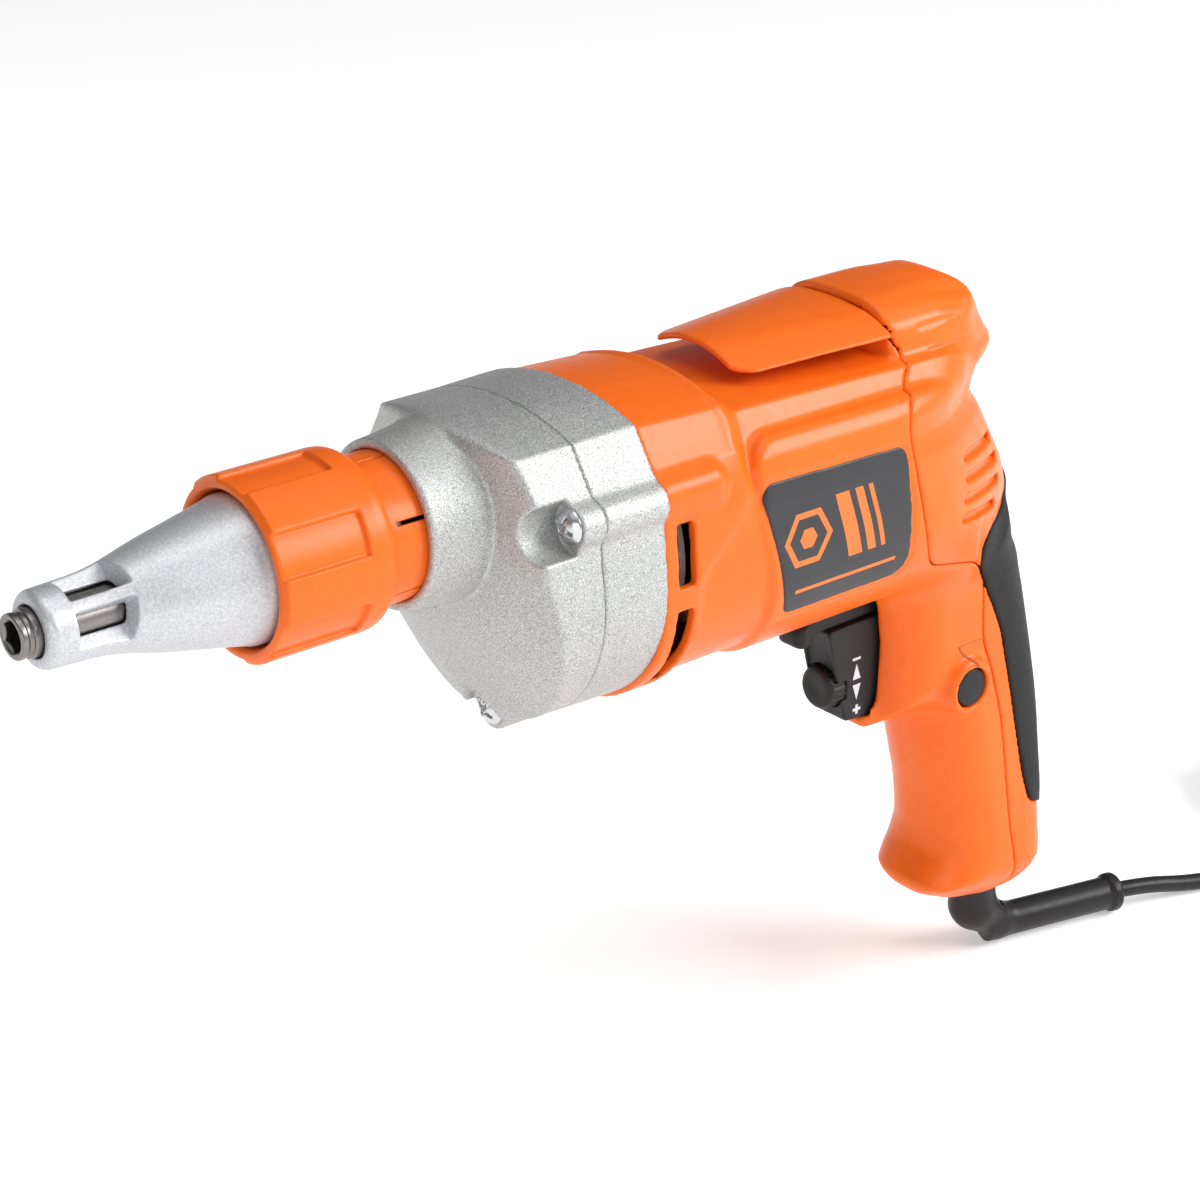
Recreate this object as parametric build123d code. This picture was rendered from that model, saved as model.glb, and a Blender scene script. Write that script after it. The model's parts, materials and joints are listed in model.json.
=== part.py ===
from build123d import *
import math
import os

# Corded drywall screwdriver, modelled upright about its spindle.
# Working frame: spindle axis on X (y = 0, z = 0), nose towards -X, +Z up.
# Every piece is moved at the end so that the origin is the middle of the grip.

# ---------------------------------------------------------------- dimensions
GRIP_X, GRIP_Z = 88.0, -110.0        # middle of the grip in the working frame
MOTOR_Z = -18.0                      # motor axis below the spindle axis
BARREL_R = 36.0                      # outside radius of the motor barrel
WALL = 2.8                           # wall of the moulded housings
X_PART = -53.0                       # face between metal gear case and housing
X_INNER = -71.0                      # face between gear cover and inner cover
X_NECK = -105.6                      # front face of the gear cover's neck
NECK_BORE_R = 17.3                   # bore that takes the depth sleeve
NECK_R = 19.6                        # outside of the neck at its front

HEX_AF = 6.35                        # quarter-inch hexagon across flats
BIT_HOLDER_R = 5.35
X_TIP = -197.6                       # front of the bit holder
X_NOSE = -193.2                      # front of the locator cone
NOSE_R = 8.7
COLLAR_R = 20.95
X_COLLAR = -145.0

GEAR_M = 0.75                        # gear module
GEAR_Z = 40                          # teeth on the spindle gear
PINION_Z = 8                         # teeth cut on the armature shaft
SPINDLE_R = 7.0
PUSH = 3.0                           # spindle travel that closes the clutch
DEPTH = 2.0                          # locator travel each way

BOSS_Y, BOSS_Z = 31.6, 2.4           # gear case screws, left and right
BOSS_LOW_Z = -53.5                   # gear case screw, bottom

TRIGGER_TRAVEL = 6.0
DIAL_Z, DIAL_R = -81.1, 5.75         # speed wheel in the trigger's front
BUTTON_X, BUTTON_Z, BUTTON_R = 67.3, -85.2, 5.0
BUTTON_TRAVEL = 3.0

CORD_D = 4.8
CORD_R = CORD_D / 2
SLEEVE_Z = -175.5                    # axis of the lead sleeve
FLOOR_Z = -181.1                     # surface that the lead lies on
COIL_X, COIL_Y = 246.3, -13.4        # middle of the put-away coil
COIL_MID_R = 26.8
COIL_W, COIL_H = 15.0, 19.6
TIE_T = 0.9


# ------------------------------------------------------------------- helpers
def cyl_x(r, x0, x1, y=0.0, z=0.0):
    return Pos((x0 + x1) / 2, y, z) * Rot(0, 90, 0) * Cylinder(r, abs(x1 - x0))


def cyl_y(r, y0, y1, x=0.0, z=0.0):
    return Pos(x, (y0 + y1) / 2, z) * Rot(90, 0, 0) * Cylinder(r, abs(y1 - y0))


def cyl_z(r, z0, z1, x=0.0, y=0.0):
    return Pos(x, y, (z0 + z1) / 2) * Cylinder(r, abs(z1 - z0))


def tube_x(ro, ri, x0, x1, y=0.0, z=0.0):
    return cyl_x(ro, x0, x1, y, z) - cyl_x(ri, min(x0, x1) - 1, max(x0, x1) + 1, y, z)


def block(x0, x1, y0, y1, z0, z1):
    return Pos((x0 + x1) / 2, (y0 + y1) / 2, (z0 + z1) / 2) * Box(
        x1 - x0, y1 - y0, z1 - z0
    )


def turned(points, z=0.0):
    """Solid of revolution about the X direction from (x, radius) points."""
    face = make_face(Polyline(*[(x, r) for x, r in points], close=True))
    return Pos(0, 0, z) * revolve(face, Axis.X, 360)


def side_plate(points, y0, y1):
    """Prism along Y from (x, z) points."""
    face = make_face(Polyline(*[(x, y0, z) for x, z in points], close=True))
    return extrude(face, amount=y1 - y0, dir=(0, 1, 0))


def cross_prism(points, x0, x1):
    """Prism along X from (y, z) points."""
    face = make_face(Polyline(*[(x0, y, z) for y, z in points], close=True))
    return extrude(face, amount=x1 - x0, dir=(1, 0, 0))


def case_section(x, corner, apex, sides, r, low=MOTOR_Z, inset=0.0):
    """Cross-section of barrel and gear case: an arched roof, flat upper sides
    and a round belly, as a face at x."""
    cy, cz = corner
    right = [(cy, cz)] + list(sides) + [(r, low)]
    edges = [ThreePointArc((x, -cy, cz), (x, 0, apex), (x, cy, cz))]
    for (ya, za), (yb, zb) in zip(right[:-1], right[1:]):
        edges.append(Line((x, ya, za), (x, yb, zb)))
    edges.append(ThreePointArc((x, r, low), (x, 0, low - r), (x, -r, low)))
    for (ya, za), (yb, zb) in zip(right[:0:-1], right[-2::-1]):
        edges.append(Line((x, -ya, za), (x, -yb, zb)))
    return make_face(edges)


def case_prism(x0, x1, **kw):
    return extrude(case_section(x0, **kw), amount=x1 - x0, dir=(1, 0, 0))


FRONT = dict(corner=(24.2, 17.6), apex=22.0, sides=[(30.8, 7.8), (34.8, -4.0)], r=BARREL_R)
FRONT_IN = dict(corner=(21.6, 15.0), apex=19.2, sides=[(28.0, 6.6), (31.8, -4.6)], r=BARREL_R - WALL)
REAR = dict(
    corner=(23.8, 13.2),
    apex=15.0,
    sides=[(28.2, 8.6), (33.0, 3.2), (36.0, -7.0)],
    r=36.6,
)
REAR_IN = dict(
    corner=(21.8, 10.8),
    apex=12.2,
    sides=[(25.8, 6.6), (30.4, 1.2), (33.2, -7.4)],
    r=33.8,
)


def skin_loft(rows):
    """Loft through rounded rectangles: rows of (z, x front, x rear, half width)."""
    faces = []
    for z, xf, xr, b in rows:
        rad = min(0.82 * b, 0.48 * (xr - xf))
        faces.append(Pos((xf + xr) / 2, 0, z) * RectangleRounded(xr - xf, 2 * b, rad))
    return loft(faces)


def coil_spring(x0, x1, r_mean, r_wire, turns, y=0.0, z=0.0, axis="x"):
    """Helical compression spring from x0 to x1 (or along Y)."""
    length = abs(x1 - x0) - 2 * r_wire
    path = Helix(pitch=length / turns, height=length, radius=r_mean)
    prof = Plane(origin=path @ 0, z_dir=path % 0) * Circle(r_wire)
    s = sweep(prof, path=path, is_frenet=True)
    if axis == "x":
        return Pos(min(x0, x1) + r_wire, y, z) * Rot(0, 90, 0) * s
    return Pos(y, min(x0, x1) + r_wire, z) * Rot(-90, 0, 0) * s


def gear_face(teeth, module, r_tip, r_root, shift, thin, phase_deg):
    """Involute spur gear outline, centred at the origin in the XY plane."""
    alpha = math.radians(20.0)
    rp = module * teeth / 2
    rb = rp * math.cos(alpha)
    half = (math.pi / 2 + 2 * shift * math.tan(alpha)) / teeth - thin / (2 * rp)
    inv = lambda a: math.tan(a) - a
    r0 = max(rb, r_root)
    pts = []
    for k in range(teeth):
        mid = math.radians(phase_deg) + 2 * math.pi * k / teeth
        flank = []
        if r_root < rb:
            ang = half + inv(alpha)
            flank.append((r_root, ang * 0.93))
        for i in range(7):
            r = r0 + (r_tip - r0) * i / 6
            a = math.acos(min(1.0, rb / r))
            flank.append((r, half + inv(alpha) - inv(a)))
        pts += [(r * math.cos(mid - a), r * math.sin(mid - a)) for r, a in flank]
        pts += [(r * math.cos(mid + a), r * math.sin(mid + a)) for r, a in reversed(flank)]
    return make_face(Polyline(*pts, close=True))


def gear_x(x0, x1, z, **kw):
    """Spur gear along X; angles are measured from +Y towards +Z."""
    face = Plane(origin=(x0, 0, z), x_dir=(0, 1, 0), z_dir=(1, 0, 0)) * gear_face(**kw)
    return extrude(face, amount=x1 - x0, dir=(1, 0, 0))


nodes = {}

# ------------------------------------------------------- nose and depth stop
# Locator cone: short tip with four windows, cone, threaded base, guide tube.
cone = turned(
    [
        (X_NOSE, 5.75),
        (X_NOSE, NOSE_R - 1.6),
        (X_NOSE + 0.6, NOSE_R - 0.6),
        (X_NOSE + 1.8, NOSE_R - 0.1),
        (-180.5, NOSE_R + 0.3),
        (-146.0, 16.2),
        (-143.5, 16.8),
        (-128.5, 16.8),
        (-128.5, 12.9),
        (-108.0, 12.9),
        (-108.0, 10.4),
        (-131.0, 10.4),
        (-150.0, 9.0),
        (-166.0, 6.4),
        (-188.0, 6.4),
        (-188.6, 5.75),
    ]
)
# Two pairs of windows, each pair cut straight in beside a land down to one plane.
for a in (48.4, 228.4):
    for t0, t1 in ((1.35, 14.0), (-14.0, -1.35)):
        cone = cone - Rot(a, 0, 0) * block(-186.5, -173.2, t0, t1, 3.0, 15.0)
nodes["locator_cone"] = cone

collar = turned(
    [
        (X_COLLAR, 17.6),
        (X_COLLAR, COLLAR_R - 1.4),
        (X_COLLAR + 1.4, COLLAR_R),
        (-119.2, COLLAR_R),
        (-117.2, COLLAR_R - 0.3),
        (-115.8, 19.9),
        (-114.5, 18.0),
        (-114.5, 16.95),
        (-127.4, 16.95),
        (-127.4, 17.6),
    ]
)
for k in range(6):
    collar = collar - Rot(60 * k + 4.5, 0, 0) * block(-146, -122.6, -5.0, 5.0, 19.95, 25)
nodes["depth_collar"] = collar

sleeve = turned(
    [
        (-125.8, 13.2),
        (-125.8, 16.6),
        (-114.2, 16.6),
        (-114.2, 17.2),
        (-95.0, 17.2),
        (-95.0, 13.2),
    ]
)
for k in range(6):
    sleeve = sleeve - Rot(60 * k + 6, 0, 0) * block(-112.4, -94.0, -0.4, 0.4, 12, 19)
nodes["depth_sleeve"] = sleeve

# ---------------------------------------------------------- spindle and bit
hex_pocket = extrude(
    Plane(origin=(X_TIP - 1, 0, 0), x_dir=(0, 1, 0), z_dir=(1, 0, 0))
    * RegularPolygon(HEX_AF / 2 + 0.03, 6, major_radius=False),
    amount=16.7,
    dir=(1, 0, 0),
)
bit_holder = turned(
    [
        (X_TIP, 0.0),
        (X_TIP, BIT_HOLDER_R - 0.85),
        (X_TIP + 0.5, BIT_HOLDER_R - 0.35),
        (X_TIP + 1.7, BIT_HOLDER_R - 0.35),
        (X_TIP + 2.0, BIT_HOLDER_R - 0.65),
        (X_TIP + 2.4, BIT_HOLDER_R - 0.65),
        (X_TIP + 2.8, BIT_HOLDER_R),
        (-156.0, BIT_HOLDER_R),
        (-156.0, 3.1),
        (-134.0, 3.1),
        (-134.0, 0.0),
    ]
)
shank = extrude(
    Plane(origin=(-156.0, 0, 0), x_dir=(0, 1, 0), z_dir=(1, 0, 0))
    * RegularPolygon(HEX_AF / 2 - 0.02, 6, major_radius=False),
    amount=22.0,
    dir=(1, 0, 0),
)
nodes["bit_holder"] = bit_holder + shank - hex_pocket - cyl_x(2.5, -182.0, -172.0)
nodes["bit_magnet"] = cyl_x(2.5, -181.0, -172.0)

spindle = turned(
    [
        (-155.8, 0.0),
        (-155.8, 6.6),
        (-155.4, SPINDLE_R),
        (-84.8, SPINDLE_R),
        (-84.8, 12.0),
        (-81.3, 12.0),
        (-81.3, 3.4),
        (-62.0, 3.4),
        (-62.0, 0.0),
    ]
)
for k in range(3):
    spindle = spindle + Rot(120 * k, 0, 0) * (
        block(-81.4, -80.1, -2.0, 2.0, 8.6, 11.3)
    )
socket = extrude(
    Plane(origin=(-156.5, 0, 0), x_dir=(0, 1, 0), z_dir=(1, 0, 0))
    * RegularPolygon(HEX_AF / 2 + 0.03, 6, major_radius=False),
    amount=23.5,
    dir=(1, 0, 0),
)
nodes["spindle"] = spindle - socket
nodes["thrust_washer"] = tube_x(11.5, SPINDLE_R + 0.08, -86.0, -85.0)
nodes["spindle_bush"] = tube_x(10.0, SPINDLE_R + 0.04, -93.0, -86.2)
nodes["spindle_seal"] = tube_x(10.6, SPINDLE_R + 0.15, -93.9, -93.0)

# ----------------------------------------------------------------- gear train
gear = gear_x(
    -75.6, -67.6, 0.0,
    teeth=GEAR_Z, module=GEAR_M, r_tip=15.25, r_root=13.85, shift=-0.5, thin=0.10, phase_deg=-90.0,
)
gear = gear + cyl_x(5.5, -67.7, -57.2)
for k in range(3):
    gear = gear + Rot(120 * k + 60, 0, 0) * block(-76.8, -75.5, -2.0, 2.0, 8.6, 11.3)
gear = gear - cyl_x(3.45, -80, -50) - cyl_x(7.4, -80, -70.0)
nodes["drive_gear"] = gear
nodes["clutch_spring"] = coil_spring(-81.2, -70.05, 6.1, 0.6, 4.5)
nodes["gear_bearing"] = tube_x(7.5, 5.54, -66.4, -57.4)

shaft = gear_x(
    -77.0, -66.6, MOTOR_Z,
    teeth=PINION_Z, module=GEAR_M, r_tip=3.96, r_root=2.2, shift=0.5, thin=0.10, phase_deg=90.0 + 22.5,
)
shaft = shaft + turned(
    [(-66.8, 0), (-66.8, 3.96), (20.5, 3.96), (20.5, 3.46), (29.4, 3.46), (29.4, 0)], z=MOTOR_Z
)
nodes["armature_shaft"] = shaft
nodes["motor_front_bearing"] = tube_x(9.5, 4.0, -64.2, -58.2, z=MOTOR_Z)
nodes["motor_rear_bearing"] = tube_x(9.5, 3.5, 22.6, 28.6, z=MOTOR_Z)

# --------------------------------------------------------------------- motor
fan = tube_x(7.0, 3.96, -51.0, -41.5, z=MOTOR_Z) + tube_x(29.0, 6.8, -43.0, -41.5, z=MOTOR_Z)
for k in range(13):
    fan = fan + Pos(0, 0, MOTOR_Z) * Rot(360 / 13 * k, 0, 0) * (
        Pos(-46.9, 0, 17.8) * Rot(0, 0, 0) * Box(8.0, 1.4, 22.0)
    )
nodes["cooling_fan"] = fan

core = tube_x(14.6, 3.96, -33.0, 1.0, z=MOTOR_Z)
for k in range(12):
    core = core - Pos(0, 0, MOTOR_Z) * Rot(30 * k, 0, 0) * block(-34, 2, -0.8, 0.8, 9.0, 15.5)
nodes["armature_core"] = core
nodes["armature_winding"] = Compound(
    children=[
        turned([(-39.6, 5.0), (-39.6, 10.5), (-36.6, 13.4), (-33.0, 13.4), (-33.0, 5.0)], z=MOTOR_Z),
        turned([(1.0, 5.0), (1.0, 13.4), (4.0, 12.6), (6.6, 9.8), (6.6, 5.0)], z=MOTOR_Z),
    ]
)
comm = tube_x(9.0, 3.96, 7.6, 19.6, z=MOTOR_Z) + tube_x(10.2, 8.0, 7.6, 9.4, z=MOTOR_Z)
for k in range(24):
    comm = comm - Pos(0, 0, MOTOR_Z) * Rot(15 * k, 0, 0) * block(9.6, 20, -0.25, 0.25, 8.3, 9.5)
nodes["commutator"] = comm

stator = tube_x(27.5, 15.2, -33.0, 1.0, z=MOTOR_Z)
for s in (-1, 1):
    stator = stator - (
        Pos(-16.0, s * 19.0, MOTOR_Z) * Box(40, 7.0, 21.0)
    ) - Pos(-16.0, s * 15.5, MOTOR_Z) * Box(40, 6.0, 8.0)
nodes["stator_core"] = stator
coils = []
for s in (-1, 1):
    ring = Pos(-16.0, 0, MOTOR_Z + s * 19.0) * (
        Box(44.0, 37.0, 9.0) - Box(34.05, 27.0, 11.0)
    )
    ends = ring & (block(-38.5, -33.1, -25, 25, -60, 25) + block(1.1, 6.5, -25, 25, -60, 25))
    ends = ends - cyl_x(16.0, -60, 30, z=MOTOR_Z)
    coils += list(ends.solids())
nodes["field_coils"] = Compound(children=coils)

holders, brushes, bsprings = [], [], []
for s in (-1, 1):
    y0, y1 = s * 10.6, s * 26.0
    body = block(9.0, 19.0, min(y0, y1), max(y0, y1), MOTOR_Z - 5.0, MOTOR_Z + 5.0)
    body = body - block(10.7, 17.3, min(y0, y1) - 1, max(y0, y1) + 1, MOTOR_Z - 3.2, MOTOR_Z + 3.2)
    cap = block(9.0, 19.0, min(y1, y1 + s), max(y1, y1 + s), MOTOR_Z - 5.0, MOTOR_Z + 5.0)
    foot = block(18.8, 21.6, min(s * 15, s * 24), max(s * 15, s * 24), MOTOR_Z - 5.0, MOTOR_Z + 5.0)
    holders.append(body + cap + foot)
    b0, b1 = s * 9.06, s * 18.6
    brush = block(10.8, 17.2, min(b0 - s * 2, b1), max(b0 - s * 2, b1), MOTOR_Z - 3.1, MOTOR_Z + 3.1)
    brushes.append(brush - cyl_x(9.06, 0, 30, z=MOTOR_Z))
    bsprings.append(coil_spring(s * 18.7, s * 25.9, 2.2, 0.35, 5, y=14.0, z=MOTOR_Z, axis="y"))
nodes["brush_holders"] = Compound(children=holders)
nodes["carbon_brushes"] = Compound(children=brushes)
nodes["brush_springs"] = Compound(children=bsprings)

# ----------------------------------------------------------- metal gear case
screw_places = [(-BOSS_Y, BOSS_Z), (BOSS_Y, BOSS_Z), (0.0, BOSS_LOW_Z)]


def case_bosses(x0, x1):
    out = cyl_x(6.0, x0, x1, 0, BOSS_LOW_Z)
    for s in (-1, 1):
        out = out + cyl_x(4.9, x0, x1, s * BOSS_Y, BOSS_Z - 0.6)
    return out


cover = case_prism(-92.5, X_INNER, **FRONT) + case_bosses(-88.0, X_INNER)
cover = cover - side_plate([(-94, -21), (-80.8, -50), (-80.8, -75), (-112, -75), (-112, -21)], -45, 45)
cover = cover + cyl_x(6.0, -80.8, X_INNER, 0, BOSS_LOW_Z)
cover = cover + turned([(X_NECK, 0), (X_NECK, NECK_R), (-92.0, 22.4), (-90.0, 22.8), (-90.0, 0)])
cover = cover & (block(-120, X_INNER, -50, 50, -80, 50))
cover = cover - cyl_x(NECK_BORE_R, X_NECK - 1, -94.0)
cover = cover - cyl_x(10.6, -94.1, -93.0) - cyl_x(10.0, -93.1, -86.2)
cover = cover - cyl_x(17.4, -86.2, X_INNER + 1) - cyl_x(7.0, -79.5, X_INNER + 1, z=MOTOR_Z)
for s in (-1, 1):
    cover = cover - cyl_x(7.0, -96.0, -77.5, s * 32.6, BOSS_Z)
    cover = cover - cyl_x(2.7, -80, -70, s * BOSS_Y, BOSS_Z)
cover = cover - cyl_x(5.2, -90.0, -75.5, 0, BOSS_LOW_Z) - cyl_x(2.7, -80, -70, 0, BOSS_LOW_Z)
nodes["gear_cover"] = cover

inner = case_prism(X_INNER, X_PART, **FRONT) + case_bosses(X_INNER, X_PART)
inner = inner - cyl_x(17.4, X_INNER - 1, -67.1) - cyl_x(7.0, X_INNER - 1, -66.2, z=MOTOR_Z)
inner = inner - cyl_x(7.5, -67.2, -57.4) - cyl_x(6.4, -57.5, -52.0)
inner = inner - cyl_x(5.0, -66.3, -64.2, z=MOTOR_Z) - cyl_x(9.5, -64.2, -58.2, z=MOTOR_Z) - cyl_x(7.6, -58.3, -52, z=MOTOR_Z)
inner = inner - (cyl_x(31.0, -56.0, X_PART + 1, z=MOTOR_Z) - cyl_x(10.5, -60, -50, z=0.0))
for y, z in screw_places:
    inner = inner - cyl_x(2.7, X_INNER - 1, X_PART + 1, y, z)
nodes["inner_cover"] = inner

screws = []
for y, z in screw_places:
    x_seat = -77.5 if y else -75.5
    sc = turned([(x_seat - 3.0, 0), (x_seat - 3.0, 2.6), (x_seat - 1.6, 4.2), (x_seat, 4.6), (x_seat, 2.45), (-34.0, 2.45), (-34.0, 0)])
    cross = block(x_seat - 3.5, x_seat - 1.2, -2.4, 2.4, -0.55, 0.55) + block(x_seat - 3.5, x_seat - 1.2, -0.55, 0.55, -2.4, 2.4)
    screws.append(Pos(0, y, z) * Rot(20, 0, 0) * (sc - cross))
nodes["gear_case_screws"] = Compound(children=screws)

# ------------------------------------------------- moulded housing and handle
upper_rows = [
    (-40.0, 38.0, 89.0, 26.0),
    (-50.0, 41.0, 92.5, 21.5),
    (-60.0, 42.5, 96.0, 18.8),
    (-75.0, 43.0, 100.5, 17.6),
    (-94.0, 43.0, 105.0, 17.0),
]
lower_rows = [
    (-86.0, 58.0, 103.5, 17.2),
    (-98.0, 61.5, 106.0, 17.0),
    (-110.0, 64.3, 108.0, 17.0),
    (-124.0, 66.4, 109.7, 17.0),
    (-134.0, 66.2, 110.6, 17.3),
    (-142.0, 63.4, 111.6, 18.2),
    (-149.0, 62.0, 112.4, 18.6),
    (-155.5, 64.5, 111.8, 17.4),
    (-160.5, 70.0, 109.0, 14.6),
    (-164.0, 78.0, 104.0, 10.5),
]


def inset_rows(rows, d, z_end=None):
    return [(z, xf + d, xr - d, b - d) for z, xf, xr, b in rows if z_end is None or z > z_end]


plan = [(28.0, 36.6), (36, 36.0), (44, 33.0), (53, 29.0), (62, 24.5), (70, 19.0), (77, 13.0), (83, 7.0), (88, 3.0)]
hump_plan = [(30.0, 20.4), (50, 20.6), (60, 20.0), (68, 17.0), (74, 12.5), (78, 7.0), (80, 2.0)]


def plan_prism(rows, z0, z1, d=0.0):
    pts = [(x - (d if i else 0), h - d) for i, (x, h) in enumerate(rows) if h - d > 0.5]
    ring = [(x, h, z0) for x, h in pts] + [(x, -h, z0) for x, h in reversed(pts)]
    return extrude(make_face(Polyline(*ring, close=True)), amount=z1 - z0, dir=(0, 0, 1))


def rear_body(d=0.0):
    """Rear of the barrel down to the handle."""
    side = [(28, 16 - d), (60, 13 - d), (70 - d, 1), (72.5 - d, -5), (78 - d, -16), (84 - d, -28),
            (88.5 - d, -40), (92 - d, -52), (60, -54.6 + d), (28, -54.6 + d)]
    out = side_plate(side, -40, 40) & plan_prism(plan, -60, 30, d)
    return out & (cyl_x(36.6 - d, 20, 100, z=MOTOR_Z) + block(20, 100, -29 + d, 29 - d, -18, 40))


def hump(d=0.0):
    """Raised back end that carries the belt clip."""
    side = [(32 + d, 0), (32 + d, 25.6 - d), (50, 26.0 - d), (62 - d, 24.6 - d), (72 - d, 19.4), (79.5 - d, 9.0), (78 - d, 5.0), (72 - d, 0)]
    cut = case_section(20, corner=(16.6 - d, 23.6 - d), apex=26.2 - d, sides=[(20.4 - d, 18.0), (20.8 - d, 2.0)], r=20.8 - d, low=0.0)
    return (side_plate(side, -30, 30) & plan_prism(hump_plan, -10, 40, d)) & extrude(cut, amount=80, dir=(1, 0, 0))


skin = case_prism(X_PART, -28.0, **FRONT) + case_prism(-28.5, 34.0, **REAR)
skin = skin + case_bosses(X_PART, -33.0) + rear_body() + hump()
skin = skin + skin_loft(upper_rows) + skin_loft(lower_rows)
skin = skin + cyl_y(7.7, -19.4, -10.0, BUTTON_X, BUTTON_Z)
skin = skin + side_plate([(36.5, -90.0), (44, -86.5), (60, -86.5), (60, -100.0), (52, -96.0), (40, -94.0)], -9.5, 9.5)

void = case_prism(X_PART - 1, -30.8, **FRONT_IN) + case_prism(-31.0, 33.0, **REAR_IN)
void = void + rear_body(WALL) + hump(WALL)
void = void + skin_loft(inset_rows(upper_rows[:-1], WALL) + [(-91.2, 43.0 + WALL, 104.3 - WALL, 17.0 - WALL)])
void = void + skin_loft(inset_rows(lower_rows[:-2], WALL) + [(-159.0, 73.5, 105.5, 11.0)])
void = void + skin_loft([(-38.0, 44, 82, 14.0), (-60.0, 47.0, 90, 14.0)])

shell = skin - void
# Ring that carries the stator, bridge that carries the rear bearing, screw posts.
barrel_in = cyl_x(34.5, X_PART, 30, z=MOTOR_Z)
ring = tube_x(34.4, 27.5, -31.0, -1.0, z=MOTOR_Z)
for a in (45, 135, 225, 315):
    ring = ring - Pos(0, 0, MOTOR_Z) * Rot(a, 0, 0) * block(-32, 0, -6, 6, 26, 33)
ring = ring & (case_prism(-31.0, 0.0, **REAR) + block(-40, 10, -30, 30, -60, -18))
bridge = block(21.6, 28.6, -34.5, 34.5, MOTOR_Z - 12.5, MOTOR_Z + 12.5) & barrel_in
bridge = bridge - cyl_x(9.5, 22.6, 30, z=MOTOR_Z) - cyl_x(6.5, 20, 24, z=MOTOR_Z)
posts = cyl_x(4.9, X_PART, -33.0, 0, BOSS_LOW_Z)
for s in (-1, 1):
    posts = posts + cyl_x(4.6, X_PART, -33.0, s * BOSS_Y, BOSS_Z - 0.6)
shell = shell + ring + bridge + posts
for y, z in screw_places:
    shell = shell - cyl_x(2.45, X_PART - 1, -34.0, y, z)
# Air outlets beside the fan, air inlets at the rear corners.
for s in (-1, 1):
    shell = shell - (block(-49.2, -43.4, min(s * 29, s * 40), max(s * 29, s * 40), -19.5, -4.2))
    shell = shell - (
        tube_x(40, 31.0, -49.2, -43.4, z=MOTOR_Z)
        & block(-60, -40, min(s * 8, s * 40), max(s * 8, s * 40), -46.0, -25.4)
    )
    for zc in (-13.5, -19.5, -25.5, -31.5):
        shell = shell - (
            Pos(62, s * 25, zc) * Rot(0, -22, 0) * Box(17, 12, 2.6)
        )
# Trigger opening, lever opening, lock button hole, lead hole, rear screw hole.
shell = shell - block(30, 52, -6.3, 6.3, -91.6, -62.0)
shell = shell - block(30, 52, -7.0, 7.0, -63.0, -57.4)
shell = shell - cyl_y(BUTTON_R + 0.15, -25, -12.0, BUTTON_X, BUTTON_Z)
shell = shell - cyl_z(6.8, -175, -150, 94.5, 0)
rear_screw_z = -142.0
upper_screws = [(-13.5, -1.0), (13.5, -1.0)]
bosses_in = cyl_x(4.6, 78.0, 108.0, 0, rear_screw_z)
for y, z in upper_screws:
    bosses_in = bosses_in + cyl_x(4.2, 32.0, 66.0, y, z)
shell = shell + (bosses_in & skin)
clamp_ribs = block(83.2, 88.4, -20, 20, -148.5, -145.4) + block(100.6, 105.8, -20, 20, -148.5, -145.4)
shell = shell + (clamp_ribs & skin)
shell = shell - cyl_z(1.5, -149.0, -146.2, 85.8, 0) - cyl_z(1.5, -149.0, -146.2, 103.2, 0)
shell = shell - cyl_x(3.6, 104.5, 120.0, 0, rear_screw_z) - cyl_x(1.9, 84.0, 106.0, 0, rear_screw_z)
for y, z in upper_screws:
    shell = shell - cyl_x(3.6, 58.0, 90.0, y, z) - cyl_x(1.9, 36.0, 60.0, y, z)

seam = [
    (31.8, 45), (31.8, 15.5), (33.5, 12), (30.5, 5), (29.6, -4), (33.5, -19), (35.5, -30), (38, -39.5),
    (52, -41.5), (58, -47), (65.5, -57), (69.5, -68), (72.5, -73), (78, -85), (82.5, -100),
    (87, -126), (91, -152), (92.5, -180), (150, -180), (150, 45),
]
tab = [(70.0, -70.2), (62.5, -72.5), (66.0, -76.5), (69.0, -80.0), (69.0, -93.0), (80.6, -95.0), (77.6, -84.0), (73.0, -72.0)]
rear_zone = side_plate(seam, -60, 60) + side_plate(tab, -60, -4)

grip_edge = [
    (90, -31), (80.5, -37), (74.5, -44.5), (73.0, -50), (75.5, -60), (80, -74), (86, -94),
    (90.5, -108), (95, -123), (100, -131.5), (106, -135.0), (130, -135), (130, -31),
]
grip_zone = side_plate(grip_edge, -40, 40)
GRIP_T = 1.6
under = rear_body(GRIP_T) + skin_loft(inset_rows(upper_rows, GRIP_T)) + skin_loft(inset_rows(lower_rows, GRIP_T))
under = under + block(20, 70, -60, 60, -200, 60)
grip = (skin & grip_zone) - under
shell = shell - grip


def largest(shape):
    """The main solid of a boolean result, without loose crumbs."""
    return max(shape.solids(), key=lambda s: s.volume)


nodes["motor_housing"] = largest(shell - rear_zone)
nodes["handle_cover"] = largest(shell & rear_zone)
nodes["rubber_grip"] = largest(grip)

cover_screws = [Pos(0, 0, rear_screw_z) * (cyl_x(1.9, 86.0, 104.6) + cyl_x(3.3, 104.5, 107.0) - block(106, 108, -1.8, 1.8, -0.4, 0.4) - block(106, 108, -0.4, 0.4, -1.8, 1.8))]
for y, z in upper_screws:
    cover_screws.append(
        Pos(0, y, z) * (cyl_x(1.9, 38.0, 58.1) + cyl_x(3.3, 58.0, 60.5) - block(59.5, 61.5, -1.8, 1.8, -0.4, 0.4) - block(59.5, 61.5, -0.4, 0.4, -1.8, 1.8))
    )
nodes["handle_cover_screws"] = Compound(children=cover_screws)


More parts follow.
